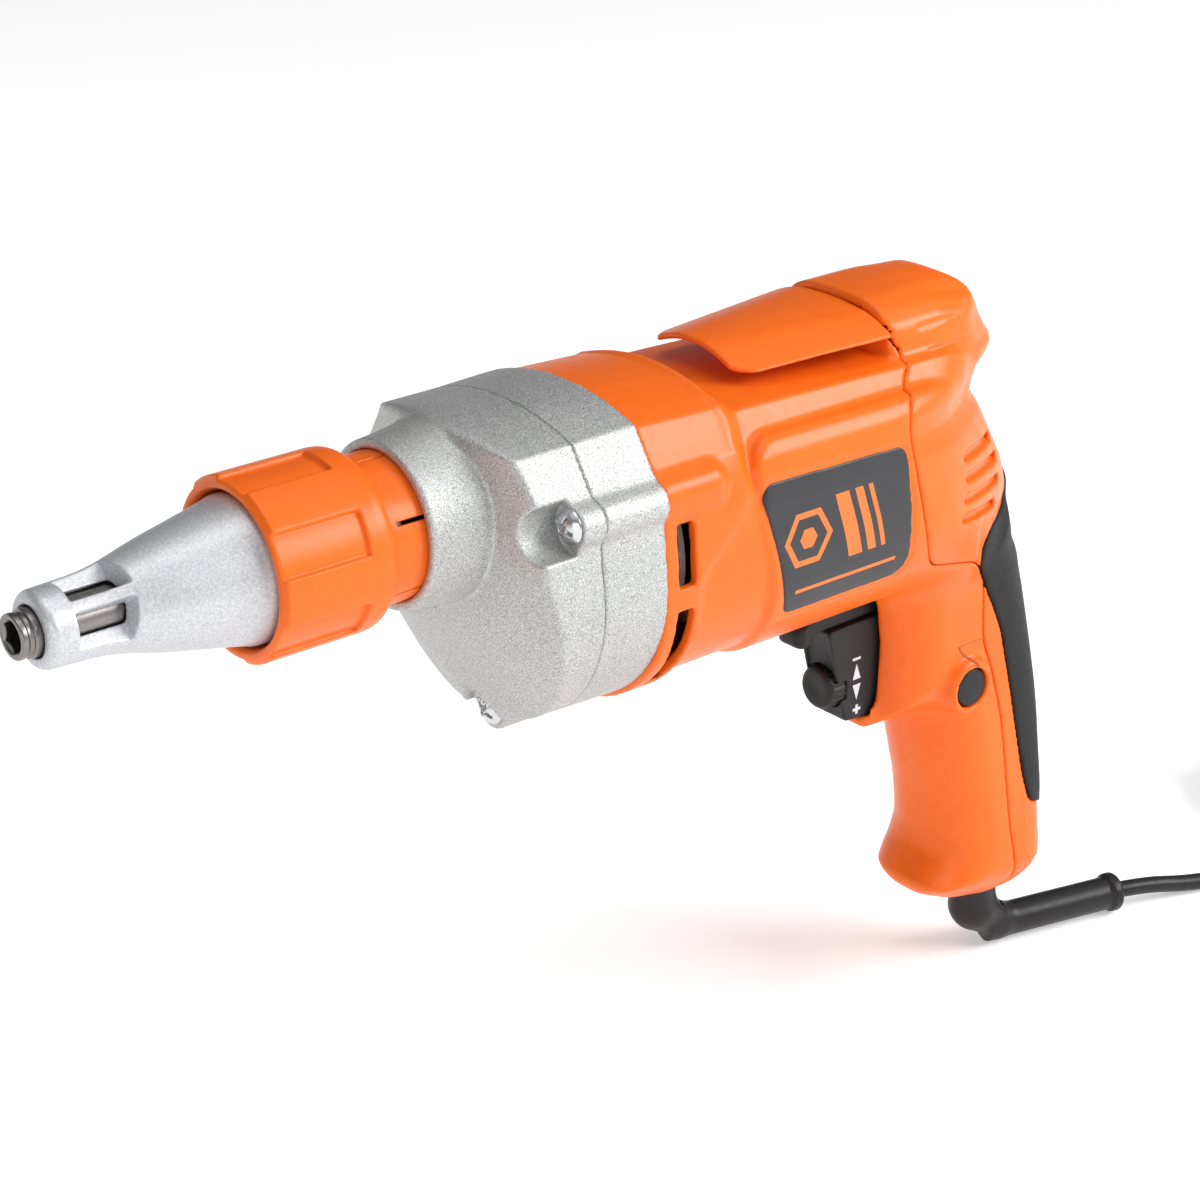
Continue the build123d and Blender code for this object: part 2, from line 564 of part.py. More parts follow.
# Belt clip: a springy tongue over the roof, its root held in the back end.
def clip_face(x, w1, w2, zt, drop):
    pts = [(-w1, zt), (-w1 / 2, zt + 0.9), (0, zt + 1.2), (w1 / 2, zt + 0.9), (w1, zt), (w2, zt - drop),
           (w2 - 2.2, zt - drop - 0.4), (w1 - 1.4, zt - 2.6), (w1 / 2, zt - 1.7), (0, zt - 1.4), (-w1 / 2, zt - 1.7),
           (-w1 + 1.4, zt - 2.6), (-w2 + 2.2, zt - drop - 0.4), (-w2, zt - drop)]
    return make_face(Polyline(*[(x, y, z) for y, z in pts], close=True))


clip = loft([clip_face(-12.5, 13.4, 16.4, 21.2, 2.8), clip_face(31.7, 16.4, 20.2, 22.8, 1.6)], ruled=True)
clip = clip + block(31.0, 38.0, -9.0, 9.0, 20.9, 22.9)
nodes["handle_cover"] = nodes["handle_cover"] - block(30.0, 38.0, -9.0, 9.0, 20.9, 22.9)
nodes["belt_clip"] = clip

# Rating plates: thin plates let into the panels on both sides.
plates = []
for s in (-1, 1):
    quad = side_plate([(-23.0, -2.6), (23.0, -3.6), (26.2, -36.2), (-12.4, -36.2)], min(s * 20, s * 45), max(s * 20, s * 45))
    band = case_prism(-28.5, 34.0, corner=(25.2, 14.0), apex=16.2, sides=[(28.4, 8.6), (33.2, 3.0), (36.4, -7.0)], r=37.0)
    band = band - case_prism(-29.5, 35.0, **REAR)
    plates.append(largest(band & quad))
nodes["side_plates"] = Compound(children=plates)

# ------------------------------------------------------- switch and controls
switch = block(56.0, 84.0, -9.3, 9.3, -90.6, -64.0)
switch = switch - cyl_x(3.3, 55.0, 62.0, 0, -77.5)
nodes["switch_body"] = switch

trig = side_plate([(28.2, -63.4), (35.0, -90.2), (49.0, -91.1), (49.0, -63.1)], -5.8, 5.8)
trig = trig - cyl_x(6.15, 15.0, 35.4, 0, DIAL_Z) - cyl_x(2.05, 15.0, 41.0, 0, DIAL_Z)
nodes["trigger"] = trig
dial = cyl_x(DIAL_R, 29.7, 35.1, 0, DIAL_Z)
for k in range(20):
    dial = dial - Pos(0, 0, DIAL_Z) * Rot(18 * k, 0, 0) * cyl_x(0.35, 29.0, 36.0, 0, DIAL_R + 0.1)
dial = dial + cyl_x(2.0, 34.6, 40.0, 0, DIAL_Z)
nodes["speed_dial"] = dial
nodes["trigger_spring"] = coil_spring(49.1, 61.9, 2.6, 0.4, 6, z=-77.5)

lever = side_plate([(13.4, -59.0), (12.8, -62.6), (16.4, -66.4), (20.6, -66.0), (21.8, -62.6), (52.0, -62.5), (52.0, -58.4), (20.0, -58.2)], -4.6, 4.6)
lever = lever - cyl_z(2.05, -70, -50, 48.5, 0)
nodes["reverse_lever"] = lever
nodes["reverse_pin"] = cyl_z(2.0, -62.4, -57.0, 48.5, 0) + block(46.5, 60.0, -3.0, 3.0, -57.6, -55.0) + block(56.5, 60.0, -3.0, 3.0, -64.0, -55.0)

button = cyl_y(BUTTON_R, -21.0, -13.2, BUTTON_X, BUTTON_Z) + cyl_y(BUTTON_R + 1.1, -14.1, -13.0, BUTTON_X, BUTTON_Z)
nodes["lock_button"] = button
shell_relief = cyl_y(BUTTON_R + 1.4, -14.4, -8.0, BUTTON_X, BUTTON_Z)
for n in ("motor_housing", "handle_cover"):
    nodes[n] = largest(nodes[n] - shell_relief)
nodes["lock_spring"] = coil_spring(-12.95, -9.35, 3.2, 0.3, 3, y=BUTTON_X, z=BUTTON_Z, axis="y")

nodes["capacitor"] = block(76.0, 94.0, -6.0, 6.0, -116.0, -103.0)
nodes["lead_clamp"] = block(83.0, 106.0, -4.0, 4.0, -151.0, -148.5)
clamp_screws = [cyl_z(1.5, -151.2, -146.2, x, 0) + cyl_z(2.8, -153.0, -151.0, x, 0) for x in (85.8, 103.2)]
nodes["lead_clamp"] = nodes["lead_clamp"] - cyl_z(1.5, -160, -140, 85.8, 0) - cyl_z(1.5, -160, -140, 103.2, 0)
nodes["lead_clamp_screws"] = Compound(children=clamp_screws)

# ------------------------------------------------------------- lead and plug
lead_dir = (math.cos(math.radians(-14.4)), math.sin(math.radians(-14.4)))
SLEEVE_END = (94.5 + 48.5 * lead_dir[0], 48.5 * lead_dir[1], SLEEVE_Z)
sleeve_path = FilletPolyline((94.5, 0, -158.0), (94.5, 0, SLEEVE_Z), SLEEVE_END, radius=9.0)
relief = sweep(Plane(origin=sleeve_path @ 0, z_dir=sleeve_path % 0) * Circle(5.1), path=sleeve_path)
relief = relief + Pos(94.5, 0, -164.0) * Cone(5.1, 6.6, 8.0) + cyl_z(6.6, -160.5, -156.5, 94.5, 0) + cyl_z(8.4, -158.9, -156.5, 94.5, 0)
bead_axis = Plane(origin=SLEEVE_END, z_dir=(-lead_dir[0], -lead_dir[1], 0))
relief = relief + extrude(bead_axis * Circle(5.6), amount=3.2)
nodes["lead_sleeve"] = relief


def cord_tube(points):
    """Round tube along straight runs joined by the largest tangent arcs."""
    pts = [Vector(*p) for p in points]
    radii = []
    for a, b, c in zip(pts[:-2], pts[1:-1], pts[2:]):
        turn = math.radians((b - a).get_angle(c - b))
        radii.append(0.45 * min((b - a).length, (c - b).length) / math.tan(turn / 2))
    print("lead radii", [round(r, 1) for r in radii])
    path = FilletPolyline(*pts, radius=radii)
    tube = sweep(Plane(origin=path @ 0, z_dir=path % 0) * Circle(CORD_R), path=path)
    print("lead tube", round(path.length, 2), round(tube.volume, 1), round(path.length * math.pi * CORD_R**2, 1))
    return tube


LEAD_POINTS = [
    SLEEVE_END,
    (151.5, -15.0, -175.8),
    (164.0, -19.4, -178.2),
    (180.0, -25.4, -178.7),
    (200.0, -31.9, -178.4),
    (219.0, -38.6, -177.9),
    (232.0, -42.0, -177.8),
]
nodes["supply_lead"] = cord_tube(LEAD_POINTS)
coil_z0 = FLOOR_Z + TIE_T
coil_face = Pos(COIL_MID_R, 0, coil_z0 + COIL_H / 2) * Rot(90, 0, 0) * RectangleRounded(COIL_W, COIL_H, 2.2)
nodes["lead_coil"] = Pos(COIL_X, COIL_Y, 0) * revolve(coil_face, Axis.Z, 360)
tie = Box(COIL_W + 2 * TIE_T + 0.5, 8.0, COIL_H + 2 * TIE_T) - Box(COIL_W + 0.5, 9.0, COIL_H)
nodes["lead_tie"] = Pos(COIL_X + COIL_MID_R * math.cos(2.0), COIL_Y + COIL_MID_R * math.sin(2.0), coil_z0 + COIL_H / 2) * Rot(0, 0, math.degrees(2.0)) * tie
TAIL_POINTS = [(246.3, -44.9, -168.2), (260.0, -45.3, -168.7), (272.0, -44.6, -168.1)]
nodes["lead_tail"] = cord_tube(TAIL_POINTS)

PLUG_Y, PLUG_Z = -44.6, FLOOR_Z + 13.0
plug = Pos(312.0, PLUG_Y, PLUG_Z) * Rot(0, 90, 0) * extrude(RectangleRounded(26.0, 36.0, 11.0), amount=17.0, both=True)
neck = loft([
    Pos(271.9, PLUG_Y, PLUG_Z) * Rot(0, 90, 0) * Circle(3.4),
    Pos(286.0, PLUG_Y, PLUG_Z) * Rot(0, 90, 0) * Circle(5.2),
    Pos(295.2, PLUG_Y, PLUG_Z) * Rot(0, 90, 0) * Circle(9.0),
])
nodes["plug_body"] = plug + neck
pins = []
for s in (-1, 1):
    pin = turned([(329.0, 0), (329.0, 2.4), (345.6, 2.4), (347.0, 2.0), (347.8, 1.1), (348.0, 0)])
    pins.append(Pos(0, PLUG_Y + s * 9.5, PLUG_Z) * pin)
nodes["plug_pins"] = Compound(children=pins)

# -------------------------------------------------------------------- export
os.makedirs("parts", exist_ok=True)
shift = Pos(-GRIP_X, 0, -GRIP_Z)
for name, shape in nodes.items():
    solids = [shift * s for s in shape.solids()]
    out = solids[0] if len(solids) == 1 else Compound(children=solids)
    export_step(out, f"parts/{name}.step")
print(len(nodes), "nodes")
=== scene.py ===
import json
import math
import bpy
import numpy as np
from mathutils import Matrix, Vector


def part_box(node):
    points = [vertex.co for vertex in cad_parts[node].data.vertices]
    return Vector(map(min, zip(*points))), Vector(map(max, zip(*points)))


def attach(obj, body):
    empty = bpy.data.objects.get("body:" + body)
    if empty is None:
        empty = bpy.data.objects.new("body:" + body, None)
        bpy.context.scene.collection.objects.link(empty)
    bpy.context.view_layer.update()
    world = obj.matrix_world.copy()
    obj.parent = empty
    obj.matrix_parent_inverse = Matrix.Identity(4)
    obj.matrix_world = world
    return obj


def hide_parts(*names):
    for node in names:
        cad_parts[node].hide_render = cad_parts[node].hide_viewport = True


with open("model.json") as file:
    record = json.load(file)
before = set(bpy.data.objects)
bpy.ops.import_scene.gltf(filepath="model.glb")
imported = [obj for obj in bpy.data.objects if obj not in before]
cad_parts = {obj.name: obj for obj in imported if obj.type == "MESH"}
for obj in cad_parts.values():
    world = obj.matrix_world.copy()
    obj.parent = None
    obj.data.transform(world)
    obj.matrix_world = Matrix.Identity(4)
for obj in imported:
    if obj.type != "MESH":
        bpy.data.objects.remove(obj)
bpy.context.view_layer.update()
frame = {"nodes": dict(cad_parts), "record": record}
nodes = frame["nodes"]
scene = bpy.context.scene

# Shapes are written in millimetres in a working frame whose X axis is the spindle
# axis (nose towards -X, +Z up) and moved to the row frame, in metres, at the end.
OFF = np.array([88.0, 0.0, -110.0])


def row(p):
    return tuple((np.asarray(p, float) - OFF) / 1000.0)


# ------------------------------------------------------------------- camera
cam_data = bpy.data.cameras.new("camera")
cam_data.sensor_width = 36.0
cam_data.lens = 90.016
cam_data.clip_start = 0.01
cam_data.clip_end = 20.0
cam = bpy.data.objects.new("camera", cam_data)
scene.collection.objects.link(cam)
cam.location = row((-460.5, -497.4, 251.0))
aim = Vector(row((-42.53, 0.0, -35.70))) - cam.location
cam.rotation_euler = aim.to_track_quat("-Z", "Y").to_euler()
scene.camera = cam
scene.view_settings.view_transform = "Standard"

# --------------------------------------------------------------------- lead
CORD_R = 2.4
FLOOR_Z = -181.1
COIL_X, COIL_Y, COIL_MID_R = 246.3, -13.4, 26.8
lead_dir = (math.cos(math.radians(-14.4)), math.sin(math.radians(-14.4)))
SLEEVE_END = (94.5 + 48.5 * lead_dir[0], 48.5 * lead_dir[1], -175.5)
LEAD_POINTS = [
    SLEEVE_END,
    (151.5, -15.0, -175.8),
    (164.0, -19.4, -178.2),
    (180.0, -25.4, -178.7),
    (200.0, -31.9, -178.4),
    (219.0, -38.6, -177.9),
    (232.0, -42.0, -177.8),
]
TAIL_POINTS = [(246.3, -44.9, -168.2), (260.0, -45.3, -168.7), (272.0, -44.6, -168.1)]


def coil_points():
    """Turns of the put-away coil: three columns, four layers, the last turn on the
    outside of the third layer, from where the lead leaves for the plug."""
    rad = {"o": COIL_MID_R + 4.82, "m": COIL_MID_R, "i": COIL_MID_R - 4.82}
    lay = [FLOOR_Z + 0.9 + 2.55 + 4.82 * k for k in range(4)]
    order = [("o", 0), ("m", 0), ("i", 0), ("i", 1), ("m", 1), ("o", 1), ("m", 2), ("i", 2), ("i", 3), ("m", 3), ("o", 2)]
    per = 16
    start, stop = math.radians(-108.0), math.radians(-90.0)
    total = 2 * math.pi * len(order) - 2 * math.pi + (stop - start) + 2 * math.pi
    n = int(round(total / (2 * math.pi) * per))
    out = []
    for k in range(1, n):
        a = total * k / n
        t = a / (2 * math.pi)
        i = min(int(t), len(order) - 1)
        f = t - i
        j = min(i + 1, len(order) - 1)
        w = min(max((f - 0.80) / 0.20, 0.0), 1.0)
        w = w * w * (3 - 2 * w)
        r = rad[order[i][0]] * (1 - w) + rad[order[j][0]] * w
        z = lay[order[i][1]] * (1 - w) + lay[order[j][1]] * w
        r = r / math.cos(math.pi / per) + 0.18 * math.sin(2.3 * t + 0.7) - 0.1
        z = z + 0.12 * math.sin(3.1 * t)
        out.append((COIL_X + r * math.cos(start + a), COIL_Y + r * math.sin(start + a), z))
    return out


route = LEAD_POINTS + coil_points() + TAIL_POINTS
curve = bpy.data.curves.new("mains_lead", "CURVE")
curve.dimensions = "3D"
curve.resolution_u = 6
curve.bevel_depth = 1.0
curve.bevel_resolution = 6
curve.use_fill_caps = True
spline = curve.splines.new("NURBS")
spline.points.add(len(route) - 1)
for p, q in zip(spline.points, route):
    p.co = (*row(q), 1.0)
    p.radius = CORD_R / 1000.0
spline.order_u = 3
spline.use_endpoint_u = True
lead = bpy.data.objects.new("mains_lead", curve)
scene.collection.objects.link(lead)
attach(lead, "housing")
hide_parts("supply_lead", "lead_coil", "lead_tail")


# ------------------------------------------------------ distance-field tools
def smin(a, b, r):
    h = np.maximum(r - np.abs(a - b), 0.0)
    return np.minimum(a, b) - h * h * (0.25 / r)


def smax(a, b, r):
    h = np.maximum(r - np.abs(a - b), 0.0)
    return np.maximum(a, b) + h * h * (0.25 / r)


def rmax(a, b, r):
    """Intersection with a round edge of radius r."""
    return np.minimum(-r, np.maximum(a, b)) + np.hypot(np.maximum(a + r, 0.0), np.maximum(b + r, 0.0))


def step(t, a, b):
    u = np.clip((t - a) / (b - a), 0.0, 1.0)
    return u * u * (3 - 2 * u)


def fil(pts, seg=7):
    """Closed outline from corner points (u, v, fillet radius)."""
    out = []
    n = len(pts)
    for i in range(n):
        p = np.array(pts[i][:2], float)
        r = pts[i][2] if len(pts[i]) > 2 else 0.0
        a = np.array(pts[i - 1][:2], float) - p
        b = np.array(pts[(i + 1) % n][:2], float) - p
        la, lb = np.linalg.norm(a), np.linalg.norm(b)
        if r <= 0 or la < 1e-9 or lb < 1e-9:
            out.append(p)
            continue
        a, b = a / la, b / lb
        ang = math.acos(float(np.clip(a @ b, -1, 1)))
        if ang > math.pi - 0.01:
            out.append(p)
            continue
        t = min(r / math.tan(ang / 2), 0.49 * la, 0.49 * lb)
        r = t * math.tan(ang / 2)
        m = (a + b) / np.linalg.norm(a + b)
        c = p + m * r / math.sin(ang / 2)
        p0, p1 = p + a * t, p + b * t
        a0 = math.atan2(*(p0 - c)[::-1])
        a1 = math.atan2(*(p1 - c)[::-1])
        da = (a1 - a0 + math.pi) % (2 * math.pi) - math.pi
        for k in range(seg + 1):
            q = a0 + da * k / seg
            out.append(c + r * np.array([math.cos(q), math.sin(q)]))
    return np.array(out)


def smooth_line(pts, n=10):
    """Catmull-Rom line through points, centripetal enough for gentle outlines."""
    P = np.array([pts[0]] + list(pts) + [pts[-1]], float)
    out = []
    for i in range(1, len(P) - 2):
        p0, p1, p2, p3 = P[i - 1], P[i], P[i + 1], P[i + 2]
        for k in range(n):
            t = k / n
            out.append(0.5 * (2 * p1 + (p2 - p0) * t + (2 * p0 - 5 * p1 + 4 * p2 - p3) * t * t + (3 * p1 - p0 - 3 * p2 + p3) * t**3))
    out.append(P[-2])
    return np.array(out)


class Outline:
    """Signed distance to a closed outline, from a table."""

    def __init__(self, pts, res=0.25, pad=9.0):
        P = np.asarray(pts, float)
        Q = np.roll(P, -1, 0)
        self.lo = P.min(0) - pad
        hi = P.max(0) + pad
        self.res = res
        self.n = np.ceil((hi - self.lo) / res).astype(int) + 1
        u = self.lo[0] + np.arange(self.n[0]) * res
        v = self.lo[1] + np.arange(self.n[1]) * res
        U, V = np.meshgrid(u, v, indexing="ij")
        D = np.full(U.shape, 1e9)
        W = np.zeros(U.shape, bool)
        for a, b in zip(P, Q):
            e = b - a
            L = float(e @ e)
            if L < 1e-14:
                continue
            t = np.clip(((U - a[0]) * e[0] + (V - a[1]) * e[1]) / L, 0, 1)
            D = np.minimum(D, (U - a[0] - t * e[0]) ** 2 + (V - a[1] - t * e[1]) ** 2)
            if a[1] != b[1]:
                W ^= ((a[1] > V) != (b[1] > V)) & (U < e[0] * (V - a[1]) / e[1] + a[0])
        D = np.sqrt(D)
        D[W] *= -1
        self.t = D

    def __call__(self, u, v):
        fu = (u - self.lo[0]) / self.res
        fv = (v - self.lo[1]) / self.res
        cu = np.clip(fu, 0, self.n[0] - 1.001)
        cv = np.clip(fv, 0, self.n[1] - 1.001)
        extra = np.hypot(fu - cu, fv - cv) * self.res
        i, j = cu.astype(int), cv.astype(int)
        a, b = cu - i, cv - j
        T = self.t
        d = (T[i, j] * (1 - a) + T[i + 1, j] * a) * (1 - b) + (T[i, j + 1] * (1 - a) + T[i + 1, j + 1] * a) * b
        return d + extra


class Track:
    """Smooth value along a coordinate, through given points."""

    def __init__(self, pts):
        pts = sorted(pts)
        x = np.array([p[0] for p in pts], float)
        y = np.array([p[1] for p in pts], float)
        h = np.diff(x)
        s = np.diff(y) / h
        m = np.zeros(len(x))
        m[0], m[-1] = s[0], s[-1]
        for i in range(1, len(x) - 1):
            if s[i - 1] * s[i] > 0:
                w1, w2 = 2 * h[i] + h[i - 1], h[i] + 2 * h[i - 1]
                m[i] = (w1 + w2) / (w1 / s[i - 1] + w2 / s[i])
        self.x = np.linspace(x[0], x[-1], 900)
        k = np.clip(np.searchsorted(x, self.x) - 1, 0, len(h) - 1)
        t = (self.x - x[k]) / h[k]
        self.y = (
            (1 + 2 * t) * (1 - t) ** 2 * y[k]
            + t * (1 - t) ** 2 * h[k] * m[k]
            + t * t * (3 - 2 * t) * y[k + 1]
            + t * t * (t - 1) * h[k] * m[k + 1]
        )

    def __call__(self, v):
        return np.interp(v, self.x, self.y)


def disc(a, b, r):
    return np.hypot(a, b) - r


def slab(v, lo, hi):
    return np.abs(v - (lo + hi) / 2) - (hi - lo) / 2


def cuboid(x, y, z, x0, x1, y0, y1, z0, z1, r=0.0):
    qx = np.abs(x - (x0 + x1) / 2) - (x1 - x0) / 2 + r
    qy = np.abs(y - (y0 + y1) / 2) - (y1 - y0) / 2 + r
    qz = np.abs(z - (z0 + z1) / 2) - (z1 - z0) / 2 + r
    out = np.sqrt(np.maximum(qx, 0) ** 2 + np.maximum(qy, 0) ** 2 + np.maximum(qz, 0) ** 2)
    return out + np.minimum(np.maximum(qx, np.maximum(qy, qz)), 0) - r


def capsule(x, y, z, a, b, ra, rb):
    a, b = np.asarray(a, float), np.asarray(b, float)
    e = b - a
    t = np.clip(((x - a[0]) * e[0] + (y - a[1]) * e[1] + (z - a[2]) * e[2]) / (e @ e), 0, 1)
    return np.sqrt((x - a[0] - t * e[0]) ** 2 + (y - a[1] - t * e[1]) ** 2 + (z - a[2] - t * e[2]) ** 2) - (ra + (rb - ra) * t)


def polygonise(fn, lo, hi, h, relax=3):
    """Surface net of fn = 0, with its points slid onto the surface."""
    B = 8
    lo = np.asarray(lo, float)
    hi = np.asarray(hi, float)
    nb = np.ceil((hi - lo) / (h * B)).astype(int)
    N = nb * B + 1
    ci = np.indices(nb).reshape(3, -1).T
    c = lo + (ci + 0.5) * h * B
    d = fn(c[:, 0], c[:, 1], c[:, 2])
    act = np.abs(d) < 0.5 * h * B * 1.7321 * 1.35 + 0.8
    sign = np.where(d < 0, -9.0, 9.0).astype(np.float32).reshape(nb)
    F = np.full(N, 9.0, np.float32)
    F[:-1, :-1, :-1] = np.repeat(np.repeat(np.repeat(sign, B, 0), B, 1), B, 2)
    loc = np.indices((B + 1,) * 3).reshape(3, -1).T
    todo = ci[act]
    for k in range(0, len(todo), 600):
        g = (todo[k : k + 600, None, :] * B + loc[None]).reshape(-1, 3)
        p = lo + g * h
        F[g[:, 0], g[:, 1], g[:, 2]] = fn(p[:, 0], p[:, 1], p[:, 2])
    S = F < 0
    cnt = np.zeros(tuple(N - 1), np.int8)
    for o in np.ndindex(2, 2, 2):
        cnt += S[o[0] : N[0] - 1 + o[0], o[1] : N[1] - 1 + o[1], o[2] : N[2] - 1 + o[2]]
    cell = np.argwhere((cnt > 0) & (cnt < 8))
    vid = np.full(tuple(N - 1), -1, np.int32)
    vid[cell[:, 0], cell[:, 1], cell[:, 2]] = np.arange(len(cell))
    acc = np.zeros((len(cell), 3))
    num = np.zeros(len(cell))
    corners = list(np.ndindex(2, 2, 2))
    for a in corners:
        for ax in range(3):
            if a[ax]:
                continue
            b = list(a)
            b[ax] = 1
            fa = F[cell[:, 0] + a[0], cell[:, 1] + a[1], cell[:, 2] + a[2]].astype(float)
            fb = F[cell[:, 0] + b[0], cell[:, 1] + b[1], cell[:, 2] + b[2]].astype(float)
            m = (fa < 0) != (fb < 0)
            t = np.where(m, fa / np.where(m, fa - fb, 1.0), 0.0)
            q = np.tile(np.array(a, float), (len(cell), 1))
            q[:, ax] += t
            acc += q * m[:, None]
            num += m
    V = lo + (cell + acc / num[:, None]) * h
    quads = []
    for ax in range(3):
        s0 = [slice(None)] * 3
        s1 = [slice(None)] * 3
        s0[ax] = slice(0, -1)
        s1[ax] = slice(1, None)
        A, Bm = S[tuple(s0)], S[tuple(s1)]
        e = np.argwhere(A != Bm)
        u, v = (ax + 1) % 3, (ax + 2) % 3
        ok = (e[:, u] > 0) & (e[:, v] > 0) & (e[:, u] < N[u] - 1) & (e[:, v] < N[v] - 1)
        e = e[ok]
        ids = []
        for du, dv in ((-1, -1), (0, -1), (0, 0), (-1, 0)):
            q = e.copy()
            q[:, u] += du
            q[:, v] += dv
            ids.append(vid[q[:, 0], q[:, 1], q[:, 2]])
        ids = np.stack(ids, 1)
        flip = ~A[e[:, 0], e[:, 1], e[:, 2]]
        ids[flip] = ids[flip][:, ::-1]
        quads.append(ids)
    quads = np.concatenate(quads)
    quads = quads[(quads >= 0).all(1)]
    ed = np.concatenate([quads[:, [0, 1]], quads[:, [1, 2]], quads[:, [2, 3]], quads[:, [3, 0]]])

    def settle(V, k):
        e = 0.12 * h
        for _ in range(k):
            x, y, z = V.T
            f0 = fn(x, y, z)
            gx = (fn(x + e, y, z) - fn(x - e, y, z)) / (2 * e)
            gy = (fn(x, y + e, z) - fn(x, y - e, z)) / (2 * e)
            gz = (fn(x, y, z + e) - fn(x, y, z - e)) / (2 * e)
            g = np.stack([gx, gy, gz], 1)
            n2 = np.maximum((g * g).sum(1), 0.05)
            mv = -g * (f0 / n2)[:, None]
            ln = np.linalg.norm(mv, axis=1)
            mv *= np.minimum(1.0, 0.6 * h / np.maximum(ln, 1e-9))[:, None]
            V = V + mv
        return V

    for _ in range(relax):
        s = np.zeros_like(V)
        w = np.zeros(len(V))
        for a, b in ((0, 1), (1, 0)):
            s += np.stack([np.bincount(ed[:, a], V[ed[:, b], k], len(V)) for k in range(3)], 1)
            w += np.bincount(ed[:, a], minlength=len(V))
        V = V + 0.5 * (s / np.maximum(w, 1)[:, None] - V)
        V = settle(V, 1)
    V = settle(V, 1)
    return V, quads


def add_mesh(name, V, faces, body, mat, replaces=(), smooth=True):
    me = bpy.data.meshes.new(name)
    me.from_pydata([], [], [])
    V = (np.asarray(V, float) - OFF) / 1000.0
    faces = np.asarray(faces)
    me.vertices.add(len(V))
    me.vertices.foreach_set("co", V.astype(np.float32).ravel())
    k = faces.shape[1]
    me.loops.add(faces.size)
    me.loops.foreach_set("vertex_index", faces.astype(np.int32).ravel())
    me.polygons.add(len(faces))
    me.polygons.foreach_set("loop_start", np.arange(0, faces.size, k, dtype=np.int32))
    me.polygons.foreach_set("loop_total", np.full(len(faces), k, np.int32))
    me.update(calc_edges=True)
    me.validate()
    me.polygons.foreach_set("use_smooth", np.full(len(me.polygons), smooth))
    ob = bpy.data.objects.new(name, me)
    scene.collection.objects.link(ob)
    me.materials.append(mat)
    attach(ob, body)
    if replaces:
        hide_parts(*replaces)
    return ob


def model(name, fn, lo, hi, h, body, mat, replaces=(), relax=3):
    V, Q = polygonise(fn, lo, hi, h, relax)
    ob = add_mesh(name, V, Q, body, mat, replaces)
    print("piece", name, len(V))
    return ob


# ---------------------------------------------------------------- materials
def new_mat(name):
    m = bpy.data.materials.new(name)
    m.use_nodes = True
    nt = m.node_tree
    bsdf = nt.nodes["Principled BSDF"]
    return m, nt, bsdf


def link(nt, a, b):
    nt.links.new(a, b)


def coords(nt, scale=1.0):
    tc = nt.nodes.new("ShaderNodeTexCoord")
    return tc.outputs["Object"]


def noise(nt, vec, scale, detail=4.0, rough=0.55, distort=0.0):
    n = nt.nodes.new("ShaderNodeTexNoise")
    n.inputs["Scale"].default_value = scale
    n.inputs["Detail"].default_value = detail
    n.inputs["Roughness"].default_value = rough
    n.inputs["Distortion"].default_value = distort
    link(nt, vec, n.inputs["Vector"])
    return n


def ramp(nt, fac, stops):
    r = nt.nodes.new("ShaderNodeValToRGB")
    els = r.color_ramp.elements
    while len(els) < len(stops):
        els.new(0.5)
    for e, (p, c) in zip(els, stops):
        e.position = p
        e.color = (*c, 1.0) if len(c) == 3 else c
    link(nt, fac, r.inputs["Fac"])
    return r


def maprange(nt, val, a, b, c, d):
    m = nt.nodes.new("ShaderNodeMapRange")
    m.inputs["From Min"].default_value = a
    m.inputs["From Max"].default_value = b
    m.inputs["To Min"].default_value = c
    m.inputs["To Max"].default_value = d
    link(nt, val, m.inputs["Value"])
    return m.outputs["Result"]


def bump(nt, height, strength, dist, bsdf, prev=None):
    b = nt.nodes.new("ShaderNodeBump")
    b.inputs["Strength"].default_value = strength
    b.inputs["Distance"].default_value = dist
    link(nt, height, b.inputs["Height"])
    if prev is not None:
        link(nt, prev, b.inputs["Normal"])
    if bsdf is not None:
        link(nt, b.outputs["Normal"], bsdf.inputs["Normal"])
    return b.outputs["Normal"]


def mixcol(nt, fac, a, b, mode="MIX"):
    m = nt.nodes.new("ShaderNodeMix")
    m.data_type = "RGBA"
    m.blend_type = mode
    if hasattr(fac, "is_output"):
        link(nt, fac, m.inputs[0])
    else:
        m.inputs[0].default_value = fac
    for i, v in ((6, a), (7, b)):
        if hasattr(v, "is_output"):
            link(nt, v, m.inputs[i])
        else:
            m.inputs[i].default_value = (*v, 1.0)
    return m.outputs[2]


def mat_orange(name="orange_abs", shade_tint=1.0):
    """Satin moulded plastic: fine spark-eroded grain, faint cloudiness."""
    m, nt, b = new_mat(name)
    v = coords(nt)
    cloud = noise(nt, v, 22.0, 3.0)
    fine = noise(nt, v, 2600.0, 2.0, 0.6)
    mid = noise(nt, v, 420.0, 3.0)
    # A tint below 1 darkens the orange into painted shade. The parting-gap strip uses this.
    col = ramp(nt, cloud.outputs["Fac"], [(0.30, (0.86 * shade_tint, 0.138 * shade_tint, 0.006)), (0.70, (0.92 * shade_tint, 0.155 * shade_tint, 0.008))])
    specks = ramp(nt, mid.outputs["Fac"], [(0.25, (0.93, 0.93, 0.93)), (0.6, (1, 1, 1))])
    link(nt, mixcol(nt, 1.0, col.outputs["Color"], specks.outputs["Color"], "MULTIPLY"), b.inputs["Base Color"])
    link(nt, maprange(nt, mid.outputs["Fac"], 0.3, 0.7, 0.295, 0.365), b.inputs["Roughness"])
    b.inputs["Specular IOR Level"].default_value = 0.31
    b.inputs["Subsurface Weight"].default_value = 0.0
    bump(nt, fine.outputs["Fac"], 0.10, 0.00012, b)
    return m


